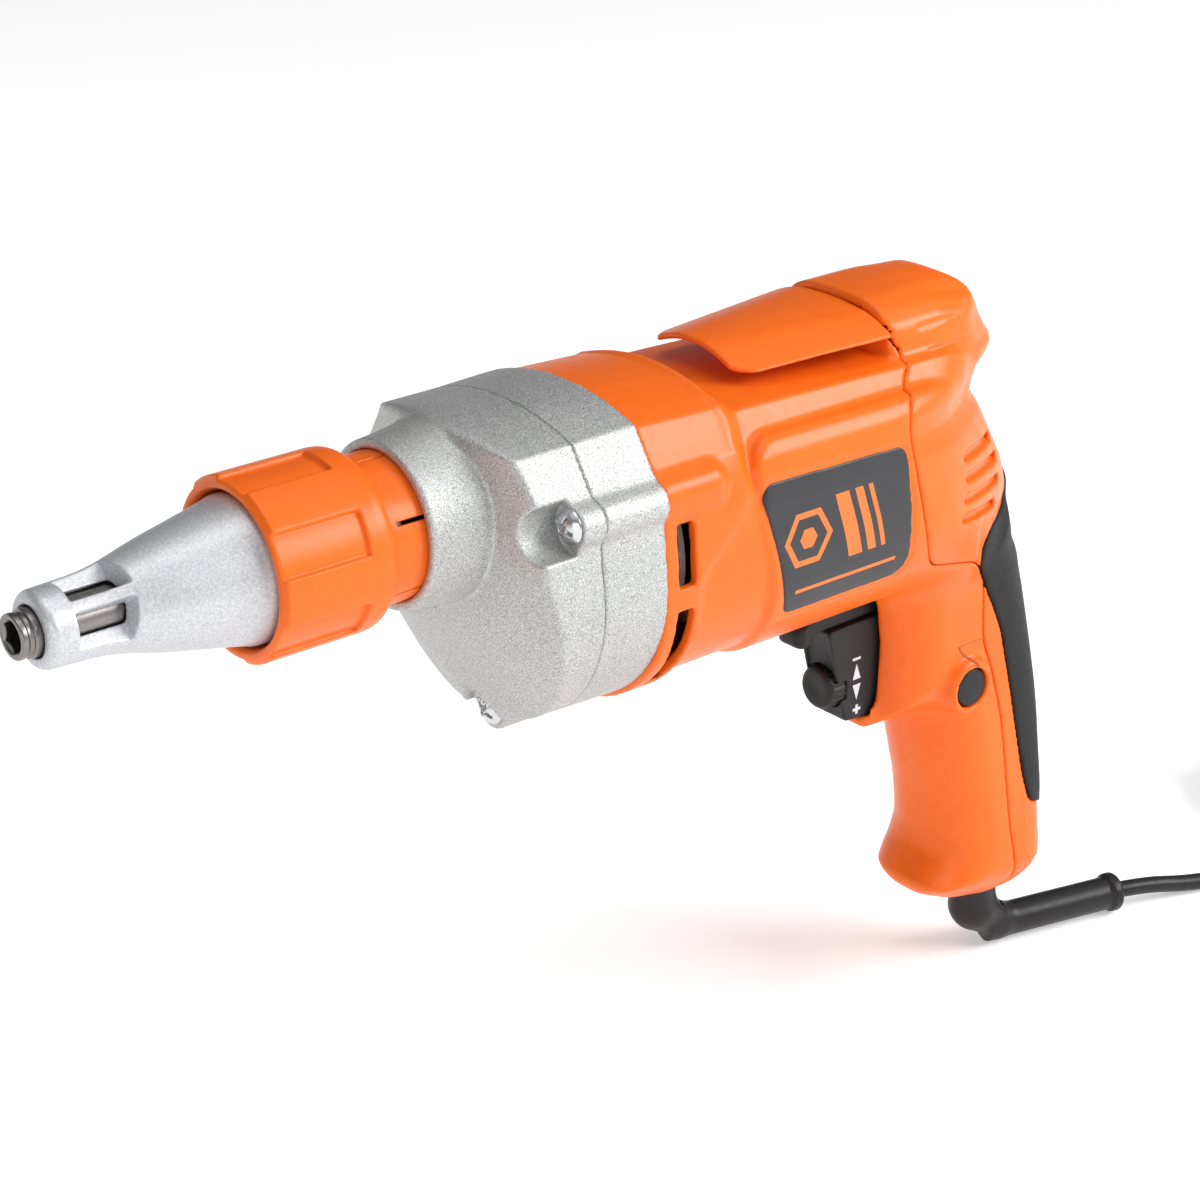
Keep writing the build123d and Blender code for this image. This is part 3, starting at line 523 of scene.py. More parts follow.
def mat_cast(name="cast_alloy"):
    """Shot-blasted casting with a silver lacquer: sparkling grain."""
    m, nt, b = new_mat(name)
    v = coords(nt)
    grain = noise(nt, v, 3000.0, 2.0, 0.75)
    spark = nt.nodes.new("ShaderNodeTexVoronoi")
    spark.inputs["Scale"].default_value = 2600.0
    link(nt, v, spark.inputs["Vector"])
    cloud = noise(nt, v, 60.0, 3.0)
    col = ramp(nt, grain.outputs["Fac"], [(0.32, (0.27, 0.273, 0.266)), (0.5, (0.515, 0.52, 0.51)), (0.68, (0.74, 0.742, 0.735))])
    tone = ramp(nt, cloud.outputs["Fac"], [(0.3, (0.92, 0.93, 0.92)), (0.7, (1.0, 1.0, 1.0))])
    link(nt, mixcol(nt, 1.0, col.outputs["Color"], tone.outputs["Color"], "MULTIPLY"), b.inputs["Base Color"])
    b.inputs["Metallic"].default_value = 0.72
    link(nt, maprange(nt, spark.outputs["Color"], 0.0, 1.0, 0.38, 0.62), b.inputs["Roughness"])
    n1 = bump(nt, grain.outputs["Fac"], 0.42, 0.0003, None)
    bump(nt, cloud.outputs["Fac"], 0.15, 0.0008, b, n1)
    return m


def mat_alloy(name="turned_alloy"):
    """Fine-blasted aluminium of the nose with small scuffs."""
    m, nt, b = new_mat(name)
    v = coords(nt)
    grain = noise(nt, v, 1900.0, 3.0, 0.65)
    cloud = noise(nt, v, 45.0, 4.0)
    scr = noise(nt, v, 160.0, 2.0, 0.5, 0.6)
    col = ramp(nt, grain.outputs["Fac"], [(0.3, (0.47, 0.48, 0.50)), (0.55, (0.62, 0.63, 0.655)), (0.75, (0.76, 0.76, 0.785))])
    nick = ramp(nt, scr.outputs["Fac"], [(0.20, (0.45, 0.45, 0.46)), (0.235, (1, 1, 1))])
    link(nt, mixcol(nt, 1.0, col.outputs["Color"], nick.outputs["Color"], "MULTIPLY"), b.inputs["Base Color"])
    b.inputs["Metallic"].default_value = 0.60
    link(nt, maprange(nt, cloud.outputs["Fac"], 0.3, 0.7, 0.42, 0.52), b.inputs["Roughness"])
    bump(nt, grain.outputs["Fac"], 0.16, 0.0002, b)
    return m


def mat_black(name="black_pa", base=(0.013, 0.012, 0.013), rough=(0.42, 0.55), grain=2200.0, strength=0.16):
    m, nt, b = new_mat(name)
    v = coords(nt)
    fine = noise(nt, v, grain, 2.0, 0.6)
    cloud = noise(nt, v, 60.0, 3.0)
    col = ramp(nt, cloud.outputs["Fac"], [(0.3, tuple(0.86 * c for c in base)), (0.7, tuple(1.15 * c for c in base))])
    link(nt, col.outputs["Color"], b.inputs["Base Color"])
    link(nt, maprange(nt, fine.outputs["Fac"], 0.3, 0.7, rough[0], rough[1]), b.inputs["Roughness"])
    b.inputs["Specular IOR Level"].default_value = 0.32
    bump(nt, fine.outputs["Fac"], strength, 0.0002, b)
    return m


def mat_metal(name, base, rough, metallic=1.0, grain=900.0, strength=0.08):
    m, nt, b = new_mat(name)
    v = coords(nt)
    fine = noise(nt, v, grain, 3.0, 0.6)
    cloud = noise(nt, v, 120.0, 3.0)
    col = ramp(nt, cloud.outputs["Fac"], [(0.3, tuple(0.85 * c for c in base)), (0.7, base)])
    link(nt, col.outputs["Color"], b.inputs["Base Color"])
    b.inputs["Metallic"].default_value = metallic
    link(nt, maprange(nt, fine.outputs["Fac"], 0.3, 0.7, rough * 0.8, rough * 1.2), b.inputs["Roughness"])
    bump(nt, fine.outputs["Fac"], strength, 0.0001, b)
    return m


def mat_label(name="label_film"):
    """Charcoal film printed with plain orange shapes: a hexagon ring, slanted bars and a thin line."""
    m, nt, b = new_mat(name)
    v = coords(nt)
    fine = noise(nt, v, 1800.0, 2.0, 0.6)
    cloud = noise(nt, v, 60.0, 3.0)
    sep = nt.nodes.new("ShaderNodeSeparateXYZ")
    link(nt, v, sep.inputs[0])

    def calc(op, a, c=None):
        n = nt.nodes.new("ShaderNodeMath")
        n.operation = op
        for i, w in enumerate((a, c)):
            if w is None:
                continue
            if hasattr(w, "is_output"):
                link(nt, w, n.inputs[i])
            else:
                n.inputs[i].default_value = w
        return n.outputs[0]

    def plane(cu, cw, cx, cz):
        """cu * (x - cx) + cw * (z - cz) in millimetres, all from the spindle axis."""
        k = cu * (OFF[0] - cx) + cw * (OFF[2] - cz)
        return calc("ADD", calc("ADD", calc("MULTIPLY", sep.outputs["X"], 1000.0 * cu), calc("MULTIPLY", sep.outputs["Z"], 1000.0 * cw)), k)

    def band(val, lo, hi):
        return calc("MULTIPLY", calc("GREATER_THAN", val, lo), calc("LESS_THAN", val, hi))

    hx = calc("MAXIMUM", calc("ABSOLUTE", plane(0.0, 1.0, -9.0, -17.5)), calc("MAXIMUM", calc("ABSOLUTE", plane(0.866, 0.5, -9.0, -17.5)), calc("ABSOLUTE", plane(0.866, -0.5, -9.0, -17.5))))
    ink = calc("MAXIMUM", band(hx, 5.2, 6.7), band(hx, -1.0, 2.4))
    skew = plane(1.0, 0.30, 0.0, 0.0)
    for lo, hi, top in ((3.0, 7.4, -9.0), (9.4, 12.0, -9.0), (13.8, 15.2, -9.0)):
        bar = calc("MULTIPLY", band(skew, lo - 6.0, hi - 6.0), band(plane(0.0, 1.0, 0.0, 0.0), -26.0, top))
        ink = calc("MAXIMUM", ink, bar)
    ink = calc("MAXIMUM", ink, calc("MULTIPLY", band(plane(0.0, 1.0, 0.0, 0.0), -31.6, -30.6), band(plane(1.0, 0.0, 0.0, 0.0), -11.5, 21.5)))
    dark = ramp(nt, cloud.outputs["Fac"], [(0.3, (0.024, 0.0235, 0.026)), (0.7, (0.033, 0.0325, 0.036))])
    link(nt, mixcol(nt, ink, dark.outputs["Color"], (0.82, 0.175, 0.025)), b.inputs["Base Color"])
    link(nt, maprange(nt, fine.outputs["Fac"], 0.3, 0.7, 0.34, 0.44), b.inputs["Roughness"])
    b.inputs["Specular IOR Level"].default_value = 0.40
    bump(nt, fine.outputs["Fac"], 0.08, 0.0002, b)
    return m


M_ORANGE = mat_orange()
M_CAST = mat_cast()
M_ALLOY = mat_alloy()
M_BLACK = mat_black()
M_RUBBER = mat_black("soft_grip", (0.012, 0.012, 0.0125), (0.55, 0.70), 1500.0, 0.22)
M_PVC = mat_black("pvc_lead", (0.013, 0.013, 0.014), (0.34, 0.46), 900.0, 0.10)
M_LABEL = mat_label()
M_STEEL = mat_metal("ground_steel", (0.55, 0.55, 0.56), 0.30)
M_DARK = mat_metal("dark_steel", (0.27, 0.25, 0.24), 0.32)
M_ZINC = mat_metal("zinc_steel", (0.72, 0.73, 0.75), 0.22)
M_BRONZE = mat_metal("bronze", (0.52, 0.33, 0.13), 0.42)
M_COPPER = mat_metal("copper", (0.66, 0.28, 0.11), 0.34)
M_NICKEL = mat_metal("nickel", (0.72, 0.69, 0.62), 0.20)
M_NYLON = mat_black("nylon", (0.62, 0.60, 0.52), (0.45, 0.55), 900.0, 0.10)
curve.materials.append(M_PVC)

# ------------------------------------------------------------- orange housing
MOTOR_Z = -18.0


def case_outline(corner, apex, sides, r, rc, low=MOTOR_Z):
    """Arched roof, faceted upper sides, round belly; (y, z) points with fillets."""
    cy, cz = corner
    R = (cy * cy + (apex - cz) ** 2) / (2 * (apex - cz))
    pts = []
    for k in range(-6, 7):
        y = cy * k / 6
        z = apex - R + math.sqrt(R * R - y * y)
        pts.append((y, z, rc if abs(k) == 6 else 0.0))
    for y, z, q in sides:
        pts.append((y, z, q))
    for k in range(0, 33):
        a = math.pi * k / 32
        pts.append((r * math.cos(a), low - r * math.sin(a), 0.0))
    for y, z, q in reversed(sides):
        pts.append((-y, z, q))
    return Outline(fil(pts))


SEC_FRONT = case_outline((24.2, 17.6), 22.0, [(30.8, 7.8, 3.0), (35.4, -4.0, 8.0)], 37.6, 1.6)
SEC_METAL = case_outline((24.2, 17.6), 22.0, [(30.8, 7.8, 3.0), (34.6, -4.0, 8.0)], 36.0, 1.4)
SEC_REAR = case_outline((23.5, 13.0), 14.8, [(26.2, 8.8, 1.2), (29.8, 3.4, 4.0), (34.8, -7.0, 8.0)], 36.0, 1.2)
SEC_PAD = case_outline((23.5, 13.0), 14.8, [(28.0, 8.2, 2.5), (31.8, 3.6, 5.0), (34.8, -7.0, 8.0)], 36.0, 1.6)

SIDE_REAR = Outline(fil([
    (-80, 60, 0), (44, 60, 0), (50, 20, 0), (60, 12.0, 6), (69.5, 2, 6), (72.5, -5, 9), (78.2, -16.5, 16), (85.0, -28, 20),
    (90.0, -40, 20), (92.6, -52, 6), (94.0, -66, 0), (60, -66, 0), (-80, -66, 0),
]))
PLAN_REAR = Outline(fil(
    [(-90, -37.6, 0), (30, -37.6, 6), (37, -36.4, 14), (45, -33.0, 14), (54, -28.6, 16), (63, -23.6, 16), (71, -18.0, 14), (79, -11.6, 12), (86, -6.0, 6), (91, 0, 4),
     (86, 6.0, 6), (79, 11.6, 12), (71, 18.0, 14), (63, 23.6, 16), (54, 28.6, 16), (45, 33.0, 14), (37, 36.4, 14), (30, 37.6, 6), (-90, 37.6, 0)]
))
WAIST = Track([(-60, -0.7), (-48, -1.9), (-42, -3.0), (-36, -5.2), (-32, -6.2), (-28, -5.5), (-24, -4.6), (-18, -1.5), (-12.5, 1.8), (-8, 4.8), (-4, 9.0), (-2, 10.4), (0, 10.2), (3, 8.8), (14, 6.0)])
SIDE_HUMP = Outline(fil([
    (32.0, -6, 0), (32.0, 25.9, 1.0), (50, 27.3, 30), (62.5, 26.5, 12), (72.0, 17.6, 14), (81.6, 8.0, 3.0), (78.4, 5.0, 4), (69.0, 0.5, 4), (62.0, -6, 0),
]))
PLAN_HUMP = Outline(fil(
    [(26, -20.8, 0), (52, -20.8, 20), (63, -18.6, 14), (72, -13.4, 10), (79.2, -6.8, 6), (81.8, 0, 5),
     (79.2, 6.8, 6), (72, 13.4, 10), (63, 18.6, 14), (52, 20.8, 20), (26, 20.8, 0)]
))
SEC_HUMP = Outline(fil([
    (-20.9, -10, 0), (-20.5, 14.5, 8), (-18.5, 20.4, 6), (-15.0, 23.6, 7), (-9, 26.0, 14), (0, 27.0, 20), (9, 26.0, 14), (15.0, 23.6, 7), (18.5, 20.4, 6), (20.5, 14.5, 8), (20.9, -10, 0),
]))

FLARE = Track([(-10, 2.5), (-2, 2.2), (0.8, 1.7), (2.1, 1.2), (3.4, 0.4), (4.8, -1.1), (6, -1.9), (7.3, -1.8), (8.4, -1.0), (9.5, 0.0), (10.7, 0.6), (12, 1.3), (14, 2.2), (16, 3.0), (18, 3.4), (20, 3.8), (30, 3.8)])

# Handle: side outline, half breadth and edge radius by height.
back_line = smooth_line([
    (84, -44), (89.3, -51), (93.3, -59.5), (96.1, -67), (98.6, -75), (100.9, -83), (102.7, -90), (104.3, -97), (105.8, -105),
    (106.9, -113), (107.7, -120), (108.5, -128), (108.7, -136), (108.6, -140), (108.9, -144), (109.0, -147),
], 6)
back_line[:, 0] -= 0.45 * step(-back_line[:, 1], 42.0, 47.0) * (1 - step(-back_line[:, 1], 131.0, 136.0))
HANDLE_SIDE = Outline(fil(
    [(78, -34, 0)] + [(u, v, 0) for u, v in back_line] + [
        (108.8, -150.5, 8), (104.0, -157.0, 8), (96.0, -160.0, 14), (86.0, -159.8, 14), (75.0, -157.0, 10), (66.6, -152.8, 6), (64.0, -149.4, 4),
        (66.3, -145.6, 8), (69.2, -140.6, 10), (69.9, -136, 12), (69.1, -129, 0), (67.9, -122, 0), (66.2, -115.6, 0), (65.3, -112, 0),
        (61.4, -96.5, 0), (60.8, -95.2, 5), (44.0, -92.6, 2), (44.0, -90, 0), (44.6, -81, 0), (45.0, -70, 0), (43.8, -61, 0), (41.5, -34, 0),
    ]
))
HB = Track([(-200, 16.6), (-160, 17.0), (-155, 17.8), (-149, 18.4), (-142, 18.0), (-134, 17.2), (-110, 17.0), (-90, 17.2), (-75, 17.7), (-60, 19.0), (-50, 21.8), (-42, 25.0), (-34, 27.0), (0, 27.0)])
HR = Track([(-200, 16.4), (-152, 16.4), (-144, 15.2), (-96, 15.0), (-60, 15.0), (-46, 16.0), (0, 16.0)])

LABEL = Outline(fil([(-23.9, -1.5, 3.4), (23.6, -2.7, 3.6), (27.0, -37.0, 5.0), (-13.2, -37.0, 3.2)]))
PANEL = Outline(fil([(-24.6, 8.5, 8.0), (60.0, 7.4, 4.0), (60.0, -60, 0), (-14.0, -60, 0), (-19.0, -34, 20), (-23.5, -12, 20)]))

BUTTON_X, BUTTON_Z = 67.3, -85.2


def roof_drop(x):
    """How far the roof lies under its nominal height along the barrel."""
    return np.interp(x, [-60, -52, -30, -21, 33], [0.2, 0.3, 1.2, -0.9, 0.8])


def body_core(x, y, z):
    """Outside of barrel, back end and handle without any cut."""
    ay = np.abs(y)
    zz = z + roof_drop(x) * step(z, 2.0, 12.0)
    low = step(z, -22.0, -2.0)
    t = step(x + 1.6 * step(z, 13.0, 18.0) - 0.19 * np.maximum(z - 8.5, 0.0), -44.5 + 15.6 * low, -40.0 + 18.0 * low)
    barrel = SEC_FRONT(y, zz) * (1 - t) + SEC_REAR(y, zz) * t
    # side bosses and the bottom ridge that take the case screws
    for cy, cz, rr, end, k in ((31.4, 1.6, 5.4, -37.5, 2.0), (0.0, -53.2, 6.4, -34.0, 3.5)):
        q = np.hypot(ay - cy, z - cz) if cy else np.hypot(y, z - cz)
        b = np.sqrt(np.maximum(x - end, 0) ** 2 + q * q) - rr
        barrel = smin(barrel, b, k)
    # raised panel under the side plates
    pan = smax(SEC_PAD(y, zz) - 1.45, PANEL(x, z), 1.8)
    pan = np.maximum(pan, 5.0 - ay)
    barrel = smin(barrel, pan, 1.4)
    rear_cut = smax(SIDE_REAR(x, z), PLAN_REAR(x + WAIST(z), y), 9.0)
    barrel = smax(barrel, rear_cut, 7.0)
    hump = smax(smax(SIDE_HUMP(x, z), PLAN_HUMP(x + FLARE(z), y), 5.0), SEC_HUMP(y, z + step(x, 48.0, 61.0) * (1.5 * np.minimum((y / 10.0) ** 2, 1.6) - 0.5)), 2.0)
    d = smin(barrel, hump, 2.6)
    han = rmax(HANDLE_SIDE(x, z), ay - HB(z), HR(z))
    lip = cuboid(x, y, z, 40.6, 60.0, -7.1, 7.1, -94.2, -87.0, 2.4)
    han = smin(han, lip, 2.5)
    d = smin(d, han, 8.0 - 5.5 * step(x, 60.0, 76.0))
    ring = smax(disc(x - BUTTON_X, z - BUTTON_Z, 7.4), -20.3 - y, 1.7)
    ring = np.maximum(ring, y + 12.0)
    d = smin(d, ring, 3.6)
    return d


VENTS = [((48.6, -13.2), (67.6, -15.4)), ((48.0, -18.0), (69.4, -20.8)), ((46.8, -22.9), (68.6, -25.9)), ((46.2, -28.0), (64.0, -30.5))]

SEAM = Track([(60, 31.85), (24, 31.85), (18.5, 32.4), (16, 33.8), (14.1, 34.8), (12, 34.2), (10.4, 32.6), (7.7, 29.8), (5.5, 27.6), (3.4, 26.3), (0, 25.8), (-5.8, 26.1), (-12, 27.2), (-19.3, 28.9),
              (-27, 31.4), (-35, 34.9), (-38.8, 38.6), (-41.2, 45.0), (-43.4, 53.0), (-46, 59.8), (-50.5, 65.6), (-55.9, 69.6), (-64, 71.6), (-73, 73.0), (-85, 77.8), (-100, 82.5), (-126, 87.2), (-152, 91.0), (-180, 92.6)])
TAB_LINE = np.array([(73.6, -73.1), (64.2, -73.2), (63.9, -73.6), (65.4, -75.9), (68.3, -78.2), (69.4, -80.4), (69.2, -84.0)])
GRIP = Outline(fil([
    (94, -27.4, 0), (79.6, -29.2, 3), (74.6, -36.0, 2.5), (66.0, -37.2, 4), (61.4, -41.2, 4), (63.8, -47.2, 8), (70.0, -55.8, 20), (76.2, -66.0, 30), (80.2, -74, 40), (86.0, -94, 60),
    (89.6, -108, 40), (92.6, -119.6, 16), (95.8, -128.4, 6), (103.5, -132.9, 4), (130, -133.3, 0), (130, -27.4, 0),
]))


def seam_side(x, y, z):
    """Negative in front of the seam, positive behind it."""
    sx = SEAM(z)
    sl = (SEAM(z + 0.4) - SEAM(z - 0.4)) / 0.8
    return (x - sx) / np.sqrt(1 + sl * sl)


def line_dist(u, v, pts):
    d = np.full(np.shape(u), 1e9)
    for a, b in zip(pts[:-1], pts[1:]):
        e = b - a
        t = np.clip(((u - a[0]) * e[0] + (v - a[1]) * e[1]) / (e @ e), 0, 1)
        d = np.minimum(d, np.hypot(u - a[0] - t * e[0], v - a[1] - t * e[1]))
    return d


def body_shell(x, y, z, d0):
    ay = np.abs(y)
    d = d0
    # shallow recess under the side plates
    rec = np.maximum(LABEL(x, z) - 1.0, 20.0 - ay)
    d = smax(d, -smax(rec, -(d0 + 0.35), 0.3), 0.35)
    # two grooves on each side of the back end, running out to the rear
    for za, xa, xb in ((18.6, 42.0, 60.0), (12.6, 44.0, 67.0)):
        g = np.hypot(z - za - 0.02 * (x - xa), np.maximum(np.maximum(xa - x, x - xb), 0))
        deep = 0.45 * (1 - step(x, xa + 6.0, xb))
        g = np.sqrt(g * g * 0.8 + np.maximum(-d0, 0) ** 2) - deep
        d = smax(d, -np.where(ay > 8.0, g, 9.0), 0.3)
    d = smax(d, -(d0 + 2.6), 0.4)
    # front face, closed against the gear case by a thin lip
    d = smax(d, -53.0 - x, 0.9)
    # air outlets beside the fan
    up = smax(slab(x, -49.0, -43.8), slab(z, -19.6, -4.2), 1.0)
    up = np.maximum(up, 26.0 - ay)
    d = smax(d, -up, 0.5)
    lowslot = smax(slab(x, -49.0, -43.8), slab(z, -47.0, -25.2), 1.0)
    lowslot = np.maximum(lowslot, 6.0 - ay)
    d = smax(d, -lowslot, 0.5)
    # air inlets at the rear corners: slots that rise a little to the rear
    for a, b in VENTS:
        q = line_dist(x, z, np.array([a, b])) - 1.15
        q = np.maximum(np.maximum(q, 8.0 - ay), -(d0 + 1.5))
        d = smax(d, -q, 0.6)
    # trigger and lever openings
    tr = cuboid(x, y, z, 20.0, 57.0, -6.5, 6.5, -90.8, -62.0, 0.6)
    lv = cuboid(x, y, z, 8.0, 54.0, -9.6, 9.6, -64.0, -56.8, 1.2)
    lv = smax(lv, ay - 5.5 - 0.29 * np.maximum(48.5 - x, 0.0), 0.5)
    d = smax(d, -np.minimum(tr, lv), 1.0)
    # lock button, lead
    bt = np.maximum(disc(x - BUTTON_X, z - BUTTON_Z, 5.6), y + 8.0)
    d = smax(d, -bt, 0.6)
    ld = np.maximum(disc(x - 94.5, y, 7.3), z + 152.0)
    d = smax(d, -ld, 0.6)
    # recess for the screw low on the back
    sc = np.maximum(disc(y, z + 142.0, 3.7), 104.5 - x)
    d = smax(d, -sc, 0.5)
    # bed of the soft grip
    bed = np.maximum(GRIP(x, z) - 0.18, 57.0 - x)
    bed = np.maximum(bed, -(d0 + 1.5))
    d = smax(d, -bed, 0.35)
    return d


def motor_housing(x, y, z):
    d0 = body_core(x, y, z)
    return smax(body_shell(x, y, z, d0), seam_side(x, y, z) - 1.3 * step(-d0, 1.0, 1.5) + 0.13, 0.5)


def handle_cover(x, y, z):
    d0 = body_core(x, y, z)
    d = smax(body_shell(x, y, z, d0), 1.3 * step(-d0, 1.0, 1.5) - seam_side(x, y, z) + 0.13, 0.5)
    # root of the belt clip and the open space under it
    d = smax(d, -np.maximum(cuboid(x, y, z, 29.0, 42.0, -20.0, 20.0, 14.3, 20.6, 0.5), SEC_HUMP(y, z) + 1.2), 0.25)
    d = smax(d, -cuboid(x, y, z, 30.0, 38.2, -9.2, 9.2, 20.7, 23.1, 0.3), 0.2)
    for s in (-13.5, 13.5):
        d = smax(d, -np.maximum(disc(y - s, z + 1.0, 3.7), 58.0 - x), 0.5)
    return d


def soft_grip(x, y, z):
    d0 = body_core(x, y, z)
    proud = 0.42 + 0.35 * step(-z, 109.0, 128.5)
    g = smax(d0 - proud, -(d0 + 1.4), 0.3)
    return smax(g, np.maximum(GRIP(x, z) + 0.06, 57.0 - x), 0.9)


def side_plate(x, y, z):
    d0 = body_core(x, y, z)
    g = smax(d0 + 0.12, -(d0 + 1.2), 0.2)
    return smax(g, np.maximum(LABEL(x, z), 20.0 - np.abs(y)), 0.25)


# ---------------------------------------------------------------- belt clip
CLIP_PLAN = Outline(fil([
    (-14.2, -12.8, 2.2), (-9.0, -17.0, 2.6), (31.75, -20.6, 0.6), (31.75, 20.6, 0.6), (-9.0, 17.0, 2.6), (-14.2, 12.8, 2.2),
]))


def clip_top(x, y):
    f = np.clip((x + 13.0) / 44.7, -0.1, 1.05)
    w1 = 13.0 + 3.6 * f
    w2 = 16.4 + 3.9 * f
    zt = 20.9 + 1.4 * f + 0.03 * y
    drop = 1.5 + 0.5 * f
    ay = np.abs(y)
    crown = zt + (2.2 - 0.6 * f) * (1 - np.minimum(ay / w1, 1.2) ** 2)
    skirt = zt - drop * (ay - w1) / (w2 - w1) * 1.15
    h = np.maximum(3.2 - np.abs(crown - skirt), 0.0)
    return np.minimum(crown, skirt) - h * h * (0.25 / 3.2) + 0.35


def belt_clip(x, y, z):
    zo = clip_top(x, y)
    sl = (clip_top(x, y + 0.3) - clip_top(x, y - 0.3)) / 0.6
    s = (z - zo) / np.sqrt(1 + sl * sl)
    t = (1.5 + 0.4 * step(x, 10.0, 31.0)) * (1.0 - 0.6 * step(np.abs(y), 13.5 + 0.09 * (x + 13.0), 17.0 + 0.09 * (x + 13.0)))
    d = smax(s, -s - t, 0.5)
    d = smax(d, CLIP_PLAN(x, y), 0.8)
    root = cuboid(x, y, z, 30.8, 38.0, -9.0, 9.0, 20.9, 22.9, 0.3)
    return np.minimum(d, root)


# ---------------------------------------------------------------- gear case
K_FRONT = Track([(-80, 9.3), (-60, 9.3), (-24, 9.3), (-4, 6.6), (10, 10.2), (17.6, 12.4), (30, 12.6), (60, 12.6)])
NECK = Track([(-112, 19.4), (-105.6, 19.6), (-98, 20.3), (-92, 21.1), (-86, 21.7)])


def case_front(y, z):
    return -93.0 + K_FRONT(z) * (y / 36.0) ** 2 + 0.50 * 3.0 * np.logaddexp(0.0, (-24.0 - z) / 3.0)


def gear_outer(x, y, z):
    ay = np.abs(y)
    sec = SEC_METAL(y, z)
    k = 0.9 + 2.5 * step(z, 13.0, 19.0) * (1.0 - step(ay, 9.0, 25.0))
    d = smax(sec - 0.45 * step(x, -76.0, -55.0), (case_front(y, z) - x) / 1.10, k)
    boss = np.maximum(disc(ay - 31.6, z - 1.9, 5.0), -77.5 - x)
    d = smin(d, boss, 2.0)
    low = np.maximum(disc(y, z + 53.2, 5.8), -81.5 - x)
    d = smin(d, low, 2.0)
    pocket = np.maximum(np.hypot(np.maximum(33.5 - ay, 0), z - 2.6) - 6.4, x + 77.6)
    d = smax(d, -pocket, 0.55)
    slot = np.maximum(np.hypot(y, np.maximum(z + 53.5, 0)) - 6.0, x + 75.6)
    d = smax(d, -slot, 0.9)
    neck = rmax(np.hypot(y, z) - NECK(x), -105.6 - x, 0.9)
    neck = np.maximum(neck, x + 88.0)
    neck = np.maximum(neck, sec + 0.5 - 40.0 * np.maximum(-93.5 - x, 0.0))
    return smin(d, neck, 0.7)


def cyl_cut(x, y, z, r, x0, x1, cy=0.0, cz=0.0):
    return np.maximum(np.hypot(y - cy, z - cz) - r, np.maximum(x0 - x, x - x1))


def gear_cover(x, y, z):
    d = gear_outer(x, y, z)
    cut = cyl_cut(x, y, z, 17.3, -120.0, -94.0)
    d = smax(d, -cut, 0.7)
    for r, x0, x1, cz in ((10.6, -94.2, -93.0, 0), (10.0, -93.2, -86.0, 0), (17.4, -86.2, -60, 0), (7.0, -79.5, -60, MOTOR_Z)):
        d = np.maximum(d, -cyl_cut(x, y, z, r, x0, x1, 0.0, cz))
    gap = 0.02 + 0.17 * np.exp(-(((z + 6.0) / 5.0) ** 2)) * (y < 0)
    return smax(d, x + 71.0 + gap, 0.14)


def inner_cover(x, y, z):
    ay = np.abs(y)
    d = SEC_METAL(y, z) - 0.45 * step(x, -76.0, -55.0)
    d = smin(d, disc(ay - 31.6, z - 1.9, 5.0), 2.0)
    d = smin(d, disc(y, z + 53.2, 5.8), 2.0)
    d = smax(d, np.maximum(-70.95 - x, x + 53.0), 0.14)
    for r, x0, x1, cz in (
        (17.4, -72, -67.1, 0), (7.0, -72, -66.2, MOTOR_Z), (7.5, -67.3, -57.4, 0), (6.4, -57.5, -50, 0),
        (5.0, -66.4, -64.2, MOTOR_Z), (9.5, -64.3, -58.2, MOTOR_Z), (7.6, -58.4, -50, MOTOR_Z),
    ):
        d = np.maximum(d, -cyl_cut(x, y, z, r, x0, x1, 0.0, cz))
    dish = np.maximum(cyl_cut(x, y, z, 31.0, -56.0, -50, 0.0, MOTOR_Z), 10.5 - np.hypot(y, z))
    return np.maximum(d, -dish)


# --------------------------------------------------------------------- nose
CONE = Track([(-198, 8.5), (-193, 8.55), (-186, 8.75), (-180.5, 9.0), (-163, 12.7), (-146, 16.2), (-143.5, 16.8), (-128, 16.8)])
CONE_BORE = Track([(-200, 5.75), (-188.7, 5.75), (-188.0, 5.85), (-170, 5.85), (-163, 6.8), (-150, 9.0), (-131, 10.4), (-100, 10.4)])
COLLAR = Track([(-147, 20.0), (-145, 20.2), (-143.8, 20.95), (-119.2, 20.95), (-117.2, 20.7), (-115.9, 20.0), (-115.0, 19.0), (-114.4, 17.9), (-112, 17.0)])


def locator_cone(x, y, z):
    q = np.hypot(y, z)
    front = rmax(q - CONE(x), -193.2 - x, 2.0)
    front = smax(front, x + 128.5, 0.4)
    tube = np.maximum(q - 12.9, np.maximum(x + 108.0, -140.0 - x))
    d = np.minimum(front, tube)
    d = smax(d, -(q - CONE_BORE(x)), 0.35)
    for a in (48.4, 228.4):
        ca, sa = math.cos(math.radians(a)), math.sin(math.radians(a))
        n = z * ca - y * sa
        t = y * ca + z * sa
        w = smax(np.maximum(-186.5 - x, x + 174.6 - 0.28 * (n - 3.6)), np.maximum(1.35 - np.abs(t), 3.6 - n), 0.5)
        d = smax(d, -w, 0.5)
    return d


def depth_collar(x, y, z):
    q = np.hypot(y, z)
    d = rmax(q - COLLAR(x), -145.0 - x, 1.2)
    a = np.degrees(np.arctan2(y, z))
    a = np.abs((a + 34.5) % 60.0 - 30.0)
    floor = 19.95 - q
    side = np.radians(a - 14.0) * q
    d = smax(d, -smax(np.maximum(side, x + 122.6), floor, 0.35), 0.55)
    d = smax(d, x + 114.5, 0.4)
    bore = np.where(x < -127.4, 17.6, 16.95) + 0.8 * np.maximum(-143.6 - x, 0) * 0.6
    return smax(d, bore - q, 0.4)


